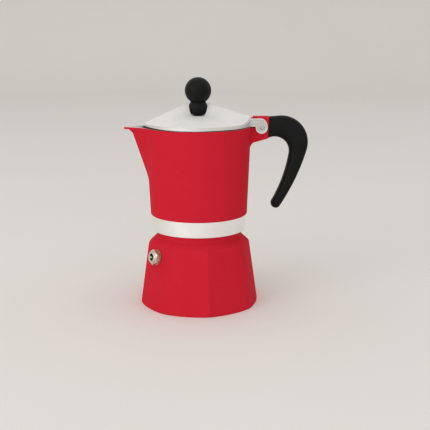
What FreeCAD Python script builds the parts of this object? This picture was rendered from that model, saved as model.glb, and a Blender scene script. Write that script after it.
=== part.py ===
import FreeCAD, Part
import Sketcher
import math
import os
import re
from FreeCAD import Placement, Rotation, Vector

doc = FreeCAD.newDocument("MokaPot")
sheet = doc.addObject("Spreadsheet::Sheet", "Sizes")

# Driving sizes in millimetres and degrees
sizes = {
    # clearances shared by every piece
    "seat_gap": 0.05,
    "fit_gap": 0.1,
    "running_gap": 0.05,
    "side_gap": 0.3,
    # boiler
    "base_radius": 44.7,
    "base_round": 1.2,
    "shoulder_inset": 6.3,
    "shoulder_height": 45.2,
    "shoulder_round": 3.0,
    "neck_inset": 7.1,
    "neck_rise": 6.0,
    "neck_length": 10.8,
    "facet_count": 8,
    "facet_foot_inset": 1.5,
    "facet_top_inset": 1.4,
    "facet_bow": 30.0,
    "boiler_floor": 3.0,
    "boiler_wall": 5.1,
    "neck_wall": 4.1,
    # screw thread between boiler and collector
    "thread_drop": 4.8,
    "thread_lead": 3.0,
    "thread_turns": 1.2,
    "thread_depth": 0.85,
    "thread_root": 1.7,
    "thread_crest": 0.8,
    "thread_gap": 0.25,
    # safety valve, lengths measured outward from the facet
    "valve_turn": 211.0,
    "valve_drop": 5.9,
    "valve_slide": 3.3,
    "valve_spin": 9.0,
    "valve_washer_radius": 5.7,
    "valve_washer_thickness": 0.8,
    "valve_across": 10.6,
    "valve_hex_length": 3.2,
    "valve_nose_radius": 4.4,
    "valve_nose_length": 1.1,
    "valve_shank_radius": 3.95,
    "valve_shank_length": 4.6,
    "valve_bore_radius": 2.6,
    "valve_seat_thickness": 1.0,
    "valve_orifice_radius": 1.3,
    "plunger_head_radius": 2.2,
    "plunger_head_length": 1.4,
    "plunger_stem_radius": 0.8,
    "plunger_tip": 4.2,
    "valve_cap_foot": 3.2,
    "valve_cap_thickness": 0.8,
    "spring_radius": 1.65,
    "spring_wire_radius": 0.25,
    "spring_turns": 6.0,
    # funnel
    "sheet_gauge": 0.8,
    "flange_inset": 0.7,
    "cup_gap": 0.5,
    "cup_depth": 15.5,
    "cone_drop": 3.0,
    "collar_length": 3.5,
    "stem_radius": 4.5,
    "stem_gauge": 0.7,
    "stem_clearance": 4.5,
    "plate_gauge": 0.6,
    "plate_hole_radius": 0.9,
    "plate_margin": 4.3,
    "plate_rings": 4,
    # gasket and filter
    "gasket_width": 5.3,
    "gasket_thickness": 3.2,
    "filter_lap": 2.1,
    "filter_gauge": 0.8,
    # collector
    "skirt_lap": 6.2,
    "band_wall": 2.5,
    "band_flare": 0.5,
    "band_height": 10.6,
    "jug_foot_step": 1.1,
    "jug_foot_round": 1.0,
    "jug_flare": 2.8,
    "jug_height": 65.1,
    "jug_wall": 2.2,
    "jug_floor": 2.5,
    "dome_inset": 0.5,
    "dome_rise": 5.4,
    "dome_crown_radius": 9.0,
    # spout
    "spout_drop": 43.5,
    "spout_foot_inset": 0.8,
    "spout_overhang": 10.85,
    "spout_slope": 1.0724,
    "spout_tip_radius": 2.5,
    "spout_depth": 12.5,
    "spout_inner_radius": 0.8,
    "lip_drop": 4.2,
    "lip_foot_overhang": 9.4,
    "lip_overhang": 15.8,
    "lip_edge": 1.7,
    "lip_edge_step": 1.7,
    "lip_slope": 0.75,
    "lip_depth": 0.5,
    "lip_wall": 1.5,
    # hinge lug, tongue and pin
    "lug_half_width": 5.7,
    "lug_gap": 1.4,
    "lug_length": 11.6,
    "lug_rise": 7.5,
    "lug_drop": 8.7,
    "tongue_length": 11.0,
    "tongue_drop": 3.5,
    "tongue_height": 7.0,
    "tongue_half_width": 3.0,
    "pin_run": 6.3,
    "pin_drop": 0.2,
    "pin_radius": 1.5,
    # column
    "column_foot_radius": 5.5,
    "column_top_radius": 4.2,
    "column_bore": 2.8,
    "column_flange": 7.0,
    "column_flange_thickness": 1.2,
    "column_drop": 13.5,
    "outlet_width": 3.4,
    "outlet_height": 5.0,
    # handle, measured out from the lug and up or down from the jug's rim
    "handle_crown_rise": 7.4,
    "handle_crown_run": 8.7,
    "handle_bow_run": 28.0,
    "handle_bow_drop": 17.6,
    "grip_foot_run": 8.5,
    "grip_foot_drop": 58.9,
    "grip_tip_run": 6.1,
    "grip_tip_rise": 3.7,
    "handle_inner_run": 14.9,
    "handle_inner_drop": 19.5,
    "handle_throat_run": 7.0,
    "handle_throat_drop": 7.7,
    "handle_round": 3.0,
    "handle_screw_run": 5.5,
    # screws
    "screw_radius": 1.5,
    "screw_head_radius": 2.7,
    "screw_head_height": 1.8,
    "handle_screw_length": 8.0,
    "knob_screw_length": 12.0,
    # lid and knob
    "lid_inset": 0.2,
    "lid_gap": 0.4,
    "lid_rim_height": 2.6,
    "lid_hinge_rise": 3.8,
    "lid_nose": 1.4,
    "lid_wall": 1.8,
    "lid_rim_width": 2.0,
    "saddle_radius": 7.0,
    "saddle_lift": 7.55,
    "saddle_edge": 0.2,
    "saddle_rise": 9.35,
    "hub_radius": 9.0,
    "hub_thickness": 3.5,
    "ear_thickness": 2.6,
    "ear_root_inset": 2.3,
    "ear_height": 6.1,
    "ear_boss_radius": 4.3,
    "knob_foot_radius": 2.55,
    "knob_waist_radius": 5.35,
    "knob_waist_rise": 10.3,
    "knob_waist_length": 0.3,
    "knob_height": 28.15,
    "knob_washer_radius": 4.0,
    "knob_washer_thickness": 0.6,
}

# Sizes that follow from the driving ones
formulas = {
    # heights measured from the table
    "neck_foot": "shoulder_height + neck_rise",
    "boiler_height": "neck_foot + neck_length",
    "thread_foot": "boiler_height - thread_drop",
    "valve_height": "shoulder_height - valve_drop",
    "cup_floor": "boiler_height - cup_depth",
    "cone_foot": "cup_floor - cone_drop",
    "collar_foot": "cone_foot - collar_length",
    "stem_foot": "boiler_floor + stem_clearance",
    "skirt_foot": "boiler_height - skirt_lap",
    "jug_foot": "skirt_foot + band_height",
    "jug_rim": "jug_foot + jug_height",
    "spout_foot": "jug_rim - spout_drop",
    "lip_foot": "jug_rim - lip_drop",
    "lug_top": "jug_rim + lug_rise",
    "lug_foot": "jug_rim - lug_drop",
    "tongue_foot": "jug_rim - tongue_drop",
    "tongue_top": "tongue_foot + tongue_height",
    "pin_height": "jug_rim - pin_drop",
    "column_top": "jug_rim - column_drop",
    "handle_crown": "jug_rim + handle_crown_rise",
    "handle_bow_height": "jug_rim - handle_bow_drop",
    "grip_foot": "jug_rim - grip_foot_drop",
    "handle_inner_height": "jug_rim - handle_inner_drop",
    "handle_throat": "jug_rim - handle_throat_drop",
    "lid_foot": "jug_rim + lid_gap",
    "lid_rim": "lid_foot + lid_rim_height",
    "saddle_height": "lid_foot + saddle_lift",
    "ear_top": "lid_foot + ear_height",
    "knob_waist_foot": "saddle_height + knob_waist_rise",
    "knob_waist_top": "knob_waist_foot + knob_waist_length",
    "knob_top": "saddle_height + knob_height",
    # radii and reaches measured from the upright axis
    "shoulder_radius": "base_radius - shoulder_inset",
    "neck_radius": "shoulder_radius - neck_inset",
    "mouth_radius": "neck_radius - neck_wall",
    "facet_foot_radius": "base_radius - facet_foot_inset",
    "facet_top_radius": "shoulder_radius - facet_top_inset",
    "flange_radius": "neck_radius - flange_inset",
    "cup_radius": "mouth_radius - cup_gap",
    "gasket_radius": "neck_radius",
    "gasket_bore": "gasket_radius - gasket_width",
    "filter_radius": "gasket_bore + filter_lap",
    "dome_radius": "gasket_bore - dome_inset",
    "skirt_bore": "neck_radius + side_gap",
    "band_foot_radius": "skirt_bore + band_wall",
    "band_top_radius": "band_foot_radius + band_flare",
    "jug_foot_radius": "band_top_radius + jug_foot_step",
    "jug_top_radius": "jug_foot_radius + jug_flare",
    "spout_foot_reach": "jug_foot_radius - spout_foot_inset",
    "spout_reach": "jug_top_radius + spout_overhang",
    "spout_back": "jug_top_radius - spout_depth",
    "lip_foot_reach": "jug_top_radius + lip_foot_overhang",
    "lip_reach": "jug_top_radius + lip_overhang",
    "lip_flare_reach": "lip_reach - lip_edge_step",
    "lip_back": "jug_top_radius - lip_depth",
    "lug_back": "jug_top_radius + lug_gap",
    "lug_end": "lug_back + lug_length",
    "pin_reach": "lug_back + pin_run",
    "tongue_end": "lug_end + tongue_length",
    "handle_crown_reach": "lug_end + handle_crown_run",
    "handle_bow_reach": "lug_end + handle_bow_run",
    "grip_foot_reach": "lug_end + grip_foot_run",
    "handle_inner_reach": "lug_end + handle_inner_run",
    "handle_throat_reach": "lug_end + handle_throat_run",
    "handle_screw_reach": "lug_end + handle_screw_run",
    "lid_radius": "jug_top_radius - lid_inset",
    "ear_root": "lid_radius - ear_root_inset",
    # sizes of single pieces
    "facet_lean": "(facet_foot_radius - facet_top_radius) / shoulder_height",
    "facet_at_valve": "facet_foot_radius - facet_lean * valve_height",
    "valve_swing": "valve_slide / (facet_at_valve + facet_bow)",
    "thread_crest_radius": "neck_radius + thread_depth",
    "valve_hex_foot": "valve_washer_thickness",
    "valve_nose_foot": "valve_hex_foot + valve_hex_length",
    "valve_end": "valve_nose_foot + valve_nose_length",
    "valve_seat": "valve_seat_thickness - valve_shank_length",
    "plunger_head_top": "valve_seat + seat_gap + plunger_head_length",
    "spring_foot": "plunger_head_top + spring_wire_radius + seat_gap",
    "spring_top": "valve_cap_foot - spring_wire_radius - seat_gap",
    "flange_foot": "boiler_height + seat_gap",
    "flange_top": "flange_foot + sheet_gauge",
    "cup_bore": "cup_radius - sheet_gauge",
    "plate_ring_step": "(cup_bore - plate_margin) / plate_rings",
    "collar_bore": "stem_radius + seat_gap",
    "collar_radius": "collar_bore + sheet_gauge",
    "gasket_foot": "flange_top + seat_gap",
    "gasket_seat": "gasket_foot + gasket_thickness",
    "filter_foot": "gasket_seat - filter_gauge",
    "jug_floor_top": "gasket_seat + jug_floor",
    "dome_top": "gasket_seat + dome_rise",
    "jug_lean": "(jug_top_radius - jug_foot_radius) / (jug_rim - jug_foot)",
    "cavity_foot_radius": "jug_foot_radius + jug_lean * (jug_floor_top - jug_foot) - jug_wall",
    "cavity_top_radius": "jug_top_radius - jug_wall",
    "crown_top": "jug_floor_top + dome_rise",
    "column_spigot": "column_foot_radius - 1",
    "column_hole": "column_spigot + seat_gap",
    "column_foot": "crown_top + column_flange_thickness",
    "spout_side": "sqrt(1 + spout_slope ^ 2)",
    "lip_side": "sqrt(1 + lip_slope ^ 2)",
    "lip_edge_slope": "0.8 * lip_slope",
    "lip_edge_side": "sqrt(1 + lip_edge_slope ^ 2)",
    "lug_width": "2 * lug_half_width",
    "ear_inner": "lug_half_width + side_gap",
    "ear_outer": "ear_inner + ear_thickness",
    "lug_swing": "sqrt((pin_reach - lug_back) ^ 2 + (lug_top - pin_height) ^ 2) + side_gap",
    "handle_root": "lug_end + fit_gap",
    "handle_screw_seat": "tongue_foot - 2",
    "hub_foot": "saddle_height - hub_thickness",
    "knob_foot": "saddle_height + seat_gap",
    "knob_washer_foot": "hub_foot - seat_gap - knob_washer_thickness",
    "knob_screw_seat": "knob_washer_foot - seat_gap",
}


# Every size and formula is a cell of the sheet with its own name
amounts = {alias: str(amount) for alias, amount in sizes.items()}
amounts.update({alias: "=" + formula for alias, formula in formulas.items()})
for row, alias in enumerate(amounts, start=1):
    sheet.set(f"A{row}", alias)
    sheet.setAlias(f"B{row}", alias)
for row, content in enumerate(amounts.values(), start=1):
    sheet.set(f"B{row}", content)
doc.recompute()


# Words in a formula become the sheet cells they stand for
def linked(text):
    def swap(found):
        word = found.group(0)
        return "Sizes." + word if word in amounts else word
    return re.sub(r"[a-z][a-z_0-9]*", swap, str(text))


def number(text):
    return float(sheet.evalExpression(linked(text)))


def new_body(label):
    body = doc.addObject("PartDesign::Body", "Body_" + label)
    body.Label = label
    return body


def origin_part(body, role):
    return [feature for feature in body.Origin.OriginFeatures if feature.Role == role][0]


# Closed outline; a third entry makes the segment into that point an arc:
# "tangent" carries on from the segment before, "axis" puts its centre on the
# upright axis, and a formula gives its radius
def outline(body, name, plane, points, lift=None):
    sketch = body.newObject("Sketcher::SketchObject", name)
    sketch.AttachmentSupport = (origin_part(body, plane), [""])
    sketch.MapMode = "FlatFace"
    if lift is not None:
        sketch.setExpression("AttachmentOffset.Base.z", linked(lift))
    corners = [Vector(number(point[0]), number(point[1]), 0) for point in points]
    ends = []
    heading = None
    for index, point in enumerate(points):
        start = corners[index - 1]
        finish = corners[index]
        chord = finish - start
        if len(point) == 2:
            sketch.addGeometry(Part.LineSegment(start, finish))
            heading = chord.normalize()
        else:
            if point[2] == "tangent":
                left = Vector(-heading.y, heading.x, 0)
                half_sweep = math.atan2(chord.dot(left), chord.dot(heading))
            elif point[2] == "axis":
                centre = (finish.dot(finish) - start.dot(start)) / 2 / chord.y
                half_sweep = math.asin(chord.Length / 2 / math.hypot(start.x, start.y - centre))
            else:
                half_sweep = math.asin(chord.Length / 2 / number(point[2]))
            middle = (start + finish) / 2
            middle += Vector(chord.y, -chord.x, 0) / 2 * math.tan(half_sweep / 2)
            sketch.addGeometry(Part.Arc(start, middle, finish))
            along = math.atan2(chord.y, chord.x) + half_sweep
            heading = Vector(math.cos(along), math.sin(along), 0)
        near = (sketch.getPoint(index, 1) - start).Length
        far = (sketch.getPoint(index, 2) - start).Length
        ends.append((1, 2) if near < far else (2, 1))
    for index, point in enumerate(points):
        before = index - 1 if index > 0 else len(points) - 1
        joint = "Coincident"
        if len(point) == 3 and point[2] == "tangent":
            joint = "Tangent"
        sketch.addConstraint(
            Sketcher.Constraint(joint, before, ends[before][1], index, ends[index][0]))
    for index, point in enumerate(points):
        for kind, formula, here in zip(("DistanceX", "DistanceY"), point, corners[index]):
            rule = Sketcher.Constraint(kind, -1, 1, index, ends[index][1], here)
            place = sketch.addConstraint(rule)
            sketch.setExpression(f"Constraints[{place}]", linked(formula))
        if len(point) == 3 and point[2] == "axis":
            sketch.addConstraint(Sketcher.Constraint("PointOnObject", index, 3, -2))
        elif len(point) == 3 and point[2] != "tangent":
            rule = Sketcher.Constraint("Radius", index, number(point[2]))
            place = sketch.addConstraint(rule)
            sketch.setExpression(f"Constraints[{place}]", linked(point[2]))
    return sketch


def turned(body, name, points, axis="V_Axis", plane="XZ_Plane", cut=False):
    sketch = outline(body, name + "Section", plane, points)
    kind = "PartDesign::Groove" if cut else "PartDesign::Revolution"
    feature = body.newObject(kind, name)
    feature.Profile = sketch
    feature.ReferenceAxis = (sketch, [axis])
    feature.Angle = 360.0
    return feature


def padded(body, name, plane, points, depth, cut=False, lift=None):
    sketch = outline(body, name + "Section", plane, points, lift)
    kind = "PartDesign::Pocket" if cut else "PartDesign::Pad"
    feature = body.newObject(kind, name)
    feature.Profile = sketch
    feature.SideType = "Symmetric"
    feature.setExpression("Length", linked(depth))
    return feature


def drilled(body, name, plane, x, y, radius, depth, lift=None):
    sketch = body.newObject("Sketcher::SketchObject", name + "Circle")
    sketch.AttachmentSupport = (origin_part(body, plane), [""])
    sketch.MapMode = "FlatFace"
    if lift is not None:
        sketch.setExpression("AttachmentOffset.Base.z", linked(lift))
    centre = Vector(number(x), number(y), 0)
    sketch.addGeometry(Part.Circle(centre, Vector(0, 0, 1), number(radius)))
    for kind, formula, here in (("DistanceX", x, centre.x), ("DistanceY", y, centre.y)):
        place = sketch.addConstraint(Sketcher.Constraint(kind, -1, 1, 0, 3, here))
        sketch.setExpression(f"Constraints[{place}]", linked(formula))
    place = sketch.addConstraint(Sketcher.Constraint("Radius", 0, number(radius)))
    sketch.setExpression(f"Constraints[{place}]", linked(radius))
    feature = body.newObject("PartDesign::Pocket", name)
    feature.Profile = sketch
    feature.SideType = "Symmetric"
    feature.setExpression("Length", linked(depth))
    return feature


def lofted(body, name, foot, foot_lift, top, top_lift, cut=False):
    lower = outline(body, name + "Foot", "XY_Plane", foot, foot_lift)
    upper = outline(body, name + "Top", "XY_Plane", top, top_lift)
    kind = "PartDesign::SubtractiveLoft" if cut else "PartDesign::AdditiveLoft"
    feature = body.newObject(kind, name)
    feature.Profile = lower
    feature.Sections = [upper]
    feature.Ruled = True
    return feature


def patterned(body, name, feature, count):
    pattern = body.newObject("PartDesign::PolarPattern", name)
    pattern.Originals = [feature]
    pattern.Axis = (origin_part(body, "Z_Axis"), [""])
    pattern.Angle = 360.0
    pattern.setExpression("Occurrences", linked(count))
    body.Tip = pattern
    return pattern


def rounded(body, name, radius, chosen):
    doc.recompute()
    base = body.Tip
    edges = [f"Edge{i}" for i, edge in enumerate(base.Shape.Edges, start=1) if chosen(edge)]
    feature = body.newObject("PartDesign::Fillet", name)
    feature.Base = (base, edges)
    feature.setExpression("Radius", linked(radius))
    doc.recompute()
    return feature


# Picks the full circle of a given radius at a given height
def circle_at(radius, height):
    def chosen(edge):
        if not isinstance(edge.Curve, Part.Circle):
            return False
        same_radius = abs(edge.Curve.Radius - number(radius)) < 0.01
        return same_radius and abs(edge.Curve.Center.z - number(height)) < 0.01
    return chosen


# Boiler: eight slightly bowed facets on a cone, shouldered in to a threaded neck
boiler = new_body("boiler")
turned(boiler, "Outside", [
    ("0", "0"),
    ("base_radius", "0"),
    ("shoulder_radius", "shoulder_height"),
    ("neck_radius", "neck_foot"),
    ("neck_radius", "boiler_height"),
    ("0", "boiler_height"),
])
rounded(boiler, "BaseRound", "base_round", circle_at("base_radius", "0"))
rounded(boiler, "ShoulderRound", "shoulder_round", circle_at("shoulder_radius", "shoulder_height"))
facet = turned(boiler, "Facet", [
    ("facet_foot_radius + facet_lean + facet_bow", "-1"),
    ("base_radius + facet_bow + 9", "-1"),
    ("base_radius + facet_bow + 9", "neck_foot"),
    ("facet_foot_radius - facet_lean * neck_foot + facet_bow", "neck_foot"),
], cut=True)
facet.Profile[0].setExpression("AttachmentOffset.Base.x", linked("-facet_bow"))
patterned(boiler, "Facets", facet, "facet_count")
turned(boiler, "Inside", [
    ("0", "boiler_floor"),
    ("base_radius - boiler_wall", "boiler_floor"),
    ("shoulder_radius - boiler_wall - 0.6", "shoulder_height"),
    ("mouth_radius", "neck_foot"),
    ("mouth_radius", "boiler_height + 1"),
    ("0", "boiler_height + 1"),
], cut=True)
valve_hole = boiler.newObject("PartDesign::SubtractiveCylinder", "ValveHole")
valve_hole.setExpression("Radius", linked("valve_shank_radius + fit_gap"))
valve_hole.setExpression("Height", linked("4 * boiler_wall"))
valve_lean = math.degrees(math.atan(number("facet_lean")))
facet_axis = Placement(
    Vector(-number("facet_bow"), 0, 0),
    Rotation(Vector(0, 0, 1), math.degrees(number("valve_swing"))))
valve_socket = facet_axis * Placement(
    Vector(number("facet_at_valve + facet_bow"), 0, number("valve_height")),
    Rotation(Vector(0, -1, 0), valve_lean))
valve_hole.Placement = valve_socket * Placement(
    Vector(-2 * number("boiler_wall"), 0, 0), Rotation(Vector(0, 1, 0), 90))
rib_section = outline(boiler, "ThreadSection", "XZ_Plane", [
    ("neck_radius - 0.3", "thread_foot - thread_root / 2"),
    ("neck_radius", "thread_foot - thread_root / 2"),
    ("thread_crest_radius", "thread_foot - thread_crest / 2"),
    ("thread_crest_radius", "thread_foot + thread_crest / 2"),
    ("neck_radius", "thread_foot + thread_root / 2"),
    ("neck_radius - 0.3", "thread_foot + thread_root / 2"),
])
rib = boiler.newObject("PartDesign::AdditiveHelix", "Thread")
rib.Profile = rib_section
rib.ReferenceAxis = (rib_section, ["V_Axis"])
rib.Mode = "pitch-turns-angle"
rib.setExpression("Pitch", linked("thread_lead"))
rib.setExpression("Turns", linked("thread_turns"))
boiler.Placement = Placement(Vector(), Rotation(Vector(0, 0, 1), number("valve_turn")))

# Safety valve, drawn along X from the facet outward and then set into it
valve_place = boiler.Placement * valve_socket
valve_washer = new_body("valve_washer")
turned(valve_washer, "Ring", [
    ("seat_gap", "valve_shank_radius + fit_gap"),
    ("seat_gap", "valve_washer_radius"),
    ("valve_washer_thickness", "valve_washer_radius"),
    ("valve_washer_thickness", "valve_shank_radius + fit_gap"),
], axis="H_Axis", plane="XY_Plane")

valve_body = new_body("valve_body")
padded(valve_body, "Hexagon", "YZ_Plane", [
    ("valve_across / sqrt(3)", "0"),
    ("valve_across / sqrt(12)", "valve_across / 2"),
    ("-valve_across / sqrt(12)", "valve_across / 2"),
    ("-valve_across / sqrt(3)", "0"),
    ("-valve_across / sqrt(12)", "-valve_across / 2"),
    ("valve_across / sqrt(12)", "-valve_across / 2"),
], "valve_hex_length", lift="valve_hex_foot + seat_gap + valve_hex_length / 2")
turned(valve_body, "Stock", [
    ("-valve_shank_length", "0"),
    ("-valve_shank_length", "valve_shank_radius"),
    ("valve_nose_foot", "valve_shank_radius"),
    ("valve_nose_foot", "valve_nose_radius"),
    ("valve_end - 0.5", "valve_nose_radius"),
    ("valve_end", "valve_nose_radius - 0.5"),
    ("valve_end", "0"),
], axis="H_Axis", plane="XY_Plane")
turned(valve_body, "Bore", [
    ("-valve_shank_length - 1", "0"),
    ("-valve_shank_length - 1", "valve_orifice_radius"),
    ("valve_seat", "valve_orifice_radius"),
    ("valve_seat", "valve_bore_radius"),
    ("valve_end + 1", "valve_bore_radius"),
    ("valve_end + 1", "0"),
], axis="H_Axis", plane="XY_Plane", cut=True)

valve_plunger = new_body("valve_plunger")
turned(valve_plunger, "Stock", [
    ("valve_seat + seat_gap", "0"),
    ("valve_seat + seat_gap", "plunger_head_radius"),
    ("plunger_head_top", "plunger_head_radius"),
    ("plunger_head_top", "plunger_stem_radius"),
    ("plunger_tip", "plunger_stem_radius"),
    ("plunger_tip + 0.4", "plunger_stem_radius - 0.4"),
    ("plunger_tip + 0.4", "0"),
], axis="H_Axis", plane="XY_Plane")

valve_cap = new_body("valve_cap")
turned(valve_cap, "Ring", [
    ("valve_cap_foot", "plunger_stem_radius + running_gap"),
    ("valve_cap_foot", "valve_bore_radius - seat_gap"),
    ("valve_cap_foot + valve_cap_thickness", "valve_bore_radius - seat_gap"),
    ("valve_cap_foot + valve_cap_thickness", "plunger_stem_radius + running_gap"),
], axis="H_Axis", plane="XY_Plane")

valve_spring = new_body("valve_spring")
wire = valve_spring.newObject("Sketcher::SketchObject", "WireSection")
wire.AttachmentSupport = (origin_part(valve_spring, "XY_Plane"), [""])
wire.MapMode = "FlatFace"
wire.addGeometry(Part.Circle(
    Vector(number("spring_foot"), number("spring_radius"), 0),
    Vector(0, 0, 1),
    number("spring_wire_radius")))
for place, (kind, formula) in enumerate((("DistanceX", "spring_foot"), ("DistanceY", "spring_radius"))):
    wire.addConstraint(Sketcher.Constraint(kind, -1, 1, 0, 3, number(formula)))
    wire.setExpression(f"Constraints[{place}]", linked(formula))
wire.addConstraint(Sketcher.Constraint("Radius", 0, number("spring_wire_radius")))
wire.setExpression("Constraints[2]", linked("spring_wire_radius"))
coil = valve_spring.newObject("PartDesign::AdditiveHelix", "Coil")
coil.Profile = wire
coil.ReferenceAxis = (wire, ["H_Axis"])
coil.Mode = "height-turns-angle"
coil.setExpression("Height", linked("spring_top - spring_foot"))
coil.setExpression("Turns", linked("spring_turns"))
for piece in (valve_washer, valve_body, valve_plunger, valve_cap, valve_spring):
    piece.Placement = valve_place
valve_body.Placement = valve_place * Placement(
    Vector(), Rotation(Vector(1, 0, 0), number("valve_spin")))

# Funnel: pressed cup, stem let into its collar, and a perforated floor plate
funnel_cup = new_body("funnel_cup")
turned(funnel_cup, "Cup", [
    ("flange_radius", "flange_foot"),
    ("flange_radius", "flange_top"),
    ("cup_bore", "flange_top"),
    ("cup_bore", "cup_floor"),
    ("collar_bore", "cone_foot"),
    ("collar_bore", "collar_foot"),
    ("collar_radius", "collar_foot"),
    ("collar_radius", "cone_foot - sheet_gauge"),
    ("cup_radius", "cup_floor - sheet_gauge"),
    ("cup_radius", "flange_foot"),
])

funnel_stem = new_body("funnel_stem")
turned(funnel_stem, "Tube", [
    ("stem_radius - stem_gauge", "stem_foot"),
    ("stem_radius", "stem_foot"),
    ("stem_radius", "cone_foot - sheet_gauge"),
    ("stem_radius - stem_gauge", "cone_foot - sheet_gauge"),
])


# Round plate with six holes more in every ring outward
def perforated(label, radius, foot, gauge):
    plate = new_body(label)
    turned(plate, "Disc", [
        ("0", foot),
        (radius, foot),
        (radius, f"{foot} + {gauge}"),
        ("0", f"{foot} + {gauge}"),
    ])
    drilled(plate, "Middle", "XY_Plane", "0", "0", "plate_hole_radius", f"4 * {gauge}", foot)
    for ring in range(1, round(number("plate_rings")) + 1):
        hole = drilled(
            plate, f"Ring{ring}", "XY_Plane", f"plate_ring_step * {ring}", "0",
            "plate_hole_radius", f"4 * {gauge}", foot)
        patterned(plate, f"Holes{ring}", hole, f"6 * {ring}")
    return plate


funnel_plate = perforated("funnel_plate", "cup_bore - side_gap", "cup_floor + seat_gap", "plate_gauge")
filter_plate = perforated("filter_plate", "filter_radius", "filter_foot", "filter_gauge - seat_gap")

# Gasket with a step that holds the filter plate against the collector
gasket = new_body("gasket")
turned(gasket, "Ring", [
    ("gasket_bore", "gasket_foot"),
    ("gasket_radius", "gasket_foot"),
    ("gasket_radius", "gasket_seat - seat_gap"),
    ("filter_radius + seat_gap", "gasket_seat - seat_gap"),
    ("filter_radius + seat_gap", "filter_foot - seat_gap"),
    ("gasket_bore", "filter_foot - seat_gap"),
])

# Collector: threaded skirt, jug, spout and hinge lug in one casting
collector = new_body("collector")
turned(collector, "Outside", [
    ("0", "skirt_foot"),
    ("band_foot_radius", "skirt_foot"),
    ("band_top_radius", "jug_foot"),
    ("jug_foot_radius", "jug_foot"),
    ("jug_top_radius", "jug_rim"),
    ("0", "jug_rim"),
])
rounded(collector, "JugFootRound", "jug_foot_round", circle_at("jug_foot_radius", "jug_foot"))


# Wedge whose flanks run tangent from a rounded tip back to a straight rear edge
def beak(reach, tip, slope, side, back):
    centre = f"({reach} - {tip})"
    wide = f"({centre} + {tip} * {side} / {slope} - {back}) * {slope}"
    return [
        (f"-{back}", f"-({wide})"),
        (f"-{back}", wide),
        (f"-({centre} + {tip} * {slope} / {side})", f"{tip} / {side}"),
        (f"-({centre} + {tip} * {slope} / {side})", f"-{tip} / {side}", tip),
    ]


# Reach of the hollow whose flanks lie one wall inside those of a beak
def hollow_reach(reach):
    flank = f"(({reach} - spout_tip_radius) * spout_slope / spout_side + spout_tip_radius - jug_wall)"
    return f"(({flank} - spout_inner_radius) * spout_side / spout_slope + spout_inner_radius)"


lofted(
    collector, "Spout",
    beak("spout_foot_reach", "spout_tip_radius", "spout_slope", "spout_side", "spout_back"), "spout_foot",
    beak("spout_reach", "spout_tip_radius", "spout_slope", "spout_side", "spout_back"), "jug_rim")
lofted(
    collector, "Lip",
    beak("lip_foot_reach", "spout_tip_radius", "lip_slope", "lip_side", "lip_back"), "lip_foot",
    beak("lip_flare_reach", "spout_tip_radius", "lip_slope", "lip_side", "lip_back"), "jug_rim")
lofted(
    collector, "LipEdge",
    beak("(lip_reach - 0.3)", "spout_tip_radius", "lip_edge_slope", "lip_edge_side", "lip_back"),
    "jug_rim - lip_edge",
    beak("lip_reach", "spout_tip_radius", "lip_edge_slope", "lip_edge_side", "lip_back"), "jug_rim")
padded(collector, "Lug", "XZ_Plane", [
    ("jug_top_radius - 1.6", "lug_foot - 9"),
    ("jug_top_radius + 0.6", "lug_foot - 4"),
    ("jug_top_radius + 3.8", "lug_foot - 2.3"),
    ("lug_end", "lug_foot"),
    ("lug_end", "lug_top"),
    ("lug_back", "lug_top"),
    ("lug_back", "jug_rim"),
    ("jug_top_radius - 1.6", "jug_rim"),
], "lug_width")
padded(collector, "Tongue", "XZ_Plane", [
    ("lug_end - 1", "tongue_foot"),
    ("tongue_end", "tongue_foot"),
    ("tongue_end", "tongue_top"),
    ("lug_end - 1", "tongue_top"),
], "2 * tongue_half_width")
turned(collector, "Inside", [
    ("0", "crown_top"),
    ("dome_crown_radius", "crown_top"),
    ("dome_radius", "jug_floor_top"),
    ("cavity_foot_radius", "jug_floor_top"),
    ("cavity_top_radius", "jug_rim"),
    ("cavity_top_radius", "jug_rim + 9"),
    ("0", "jug_rim + 9"),
], cut=True)
spout_rise = "(jug_rim + 1 - spout_foot) / (jug_rim - spout_foot)"
spout_over = f"(spout_foot_reach + (spout_reach - spout_foot_reach) * {spout_rise})"
lofted(
    collector, "SpoutInside",
    beak(hollow_reach("spout_foot_reach"), "spout_inner_radius", "spout_slope", "spout_side",
         "(spout_back - 4)"), "spout_foot",
    beak(hollow_reach(spout_over), "spout_inner_radius", "spout_slope", "spout_side",
         "(spout_back - 4)"), "jug_rim + 1", cut=True)
lip_flare = "((lip_flare_reach - lip_foot_reach) / (jug_rim - lip_foot))"
lofted(
    collector, "LipInside",
    beak("(lip_foot_reach - lip_wall)", "spout_inner_radius", "lip_slope", "lip_side", "lip_back"),
    "lip_foot + lip_wall / 2",
    beak(f"(lip_flare_reach - lip_wall + {lip_flare} * (1 - lip_wall / 2))", "spout_inner_radius",
         "lip_slope", "lip_side", "lip_back"),
    "jug_rim + 1", cut=True)
turned(collector, "Underside", [
    ("0", "skirt_foot - 1"),
    ("skirt_bore", "skirt_foot - 1"),
    ("skirt_bore", "gasket_seat"),
    ("dome_radius", "gasket_seat"),
    ("dome_crown_radius", "dome_top"),
    ("column_hole", "dome_top"),
    ("column_hole", "crown_top + 1"),
    ("0", "crown_top + 1"),
], cut=True)
groove_foot = "(thread_foot - thread_lead * (1 + valve_turn / 360))"
groove_section = outline(collector, "GrooveSection", "XZ_Plane", [
    ("neck_radius", f"{groove_foot} - thread_root / 2 - thread_gap"),
    ("thread_crest_radius + side_gap", f"{groove_foot} - thread_crest / 2 - thread_gap"),
    ("thread_crest_radius + side_gap", f"{groove_foot} + thread_crest / 2 + thread_gap"),
    ("neck_radius", f"{groove_foot} + thread_root / 2 + thread_gap"),
])
groove = collector.newObject("PartDesign::SubtractiveHelix", "ThreadGroove")
groove.Profile = groove_section
groove.ReferenceAxis = (groove_section, ["V_Axis"])
groove.Mode = "pitch-turns-angle"
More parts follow.
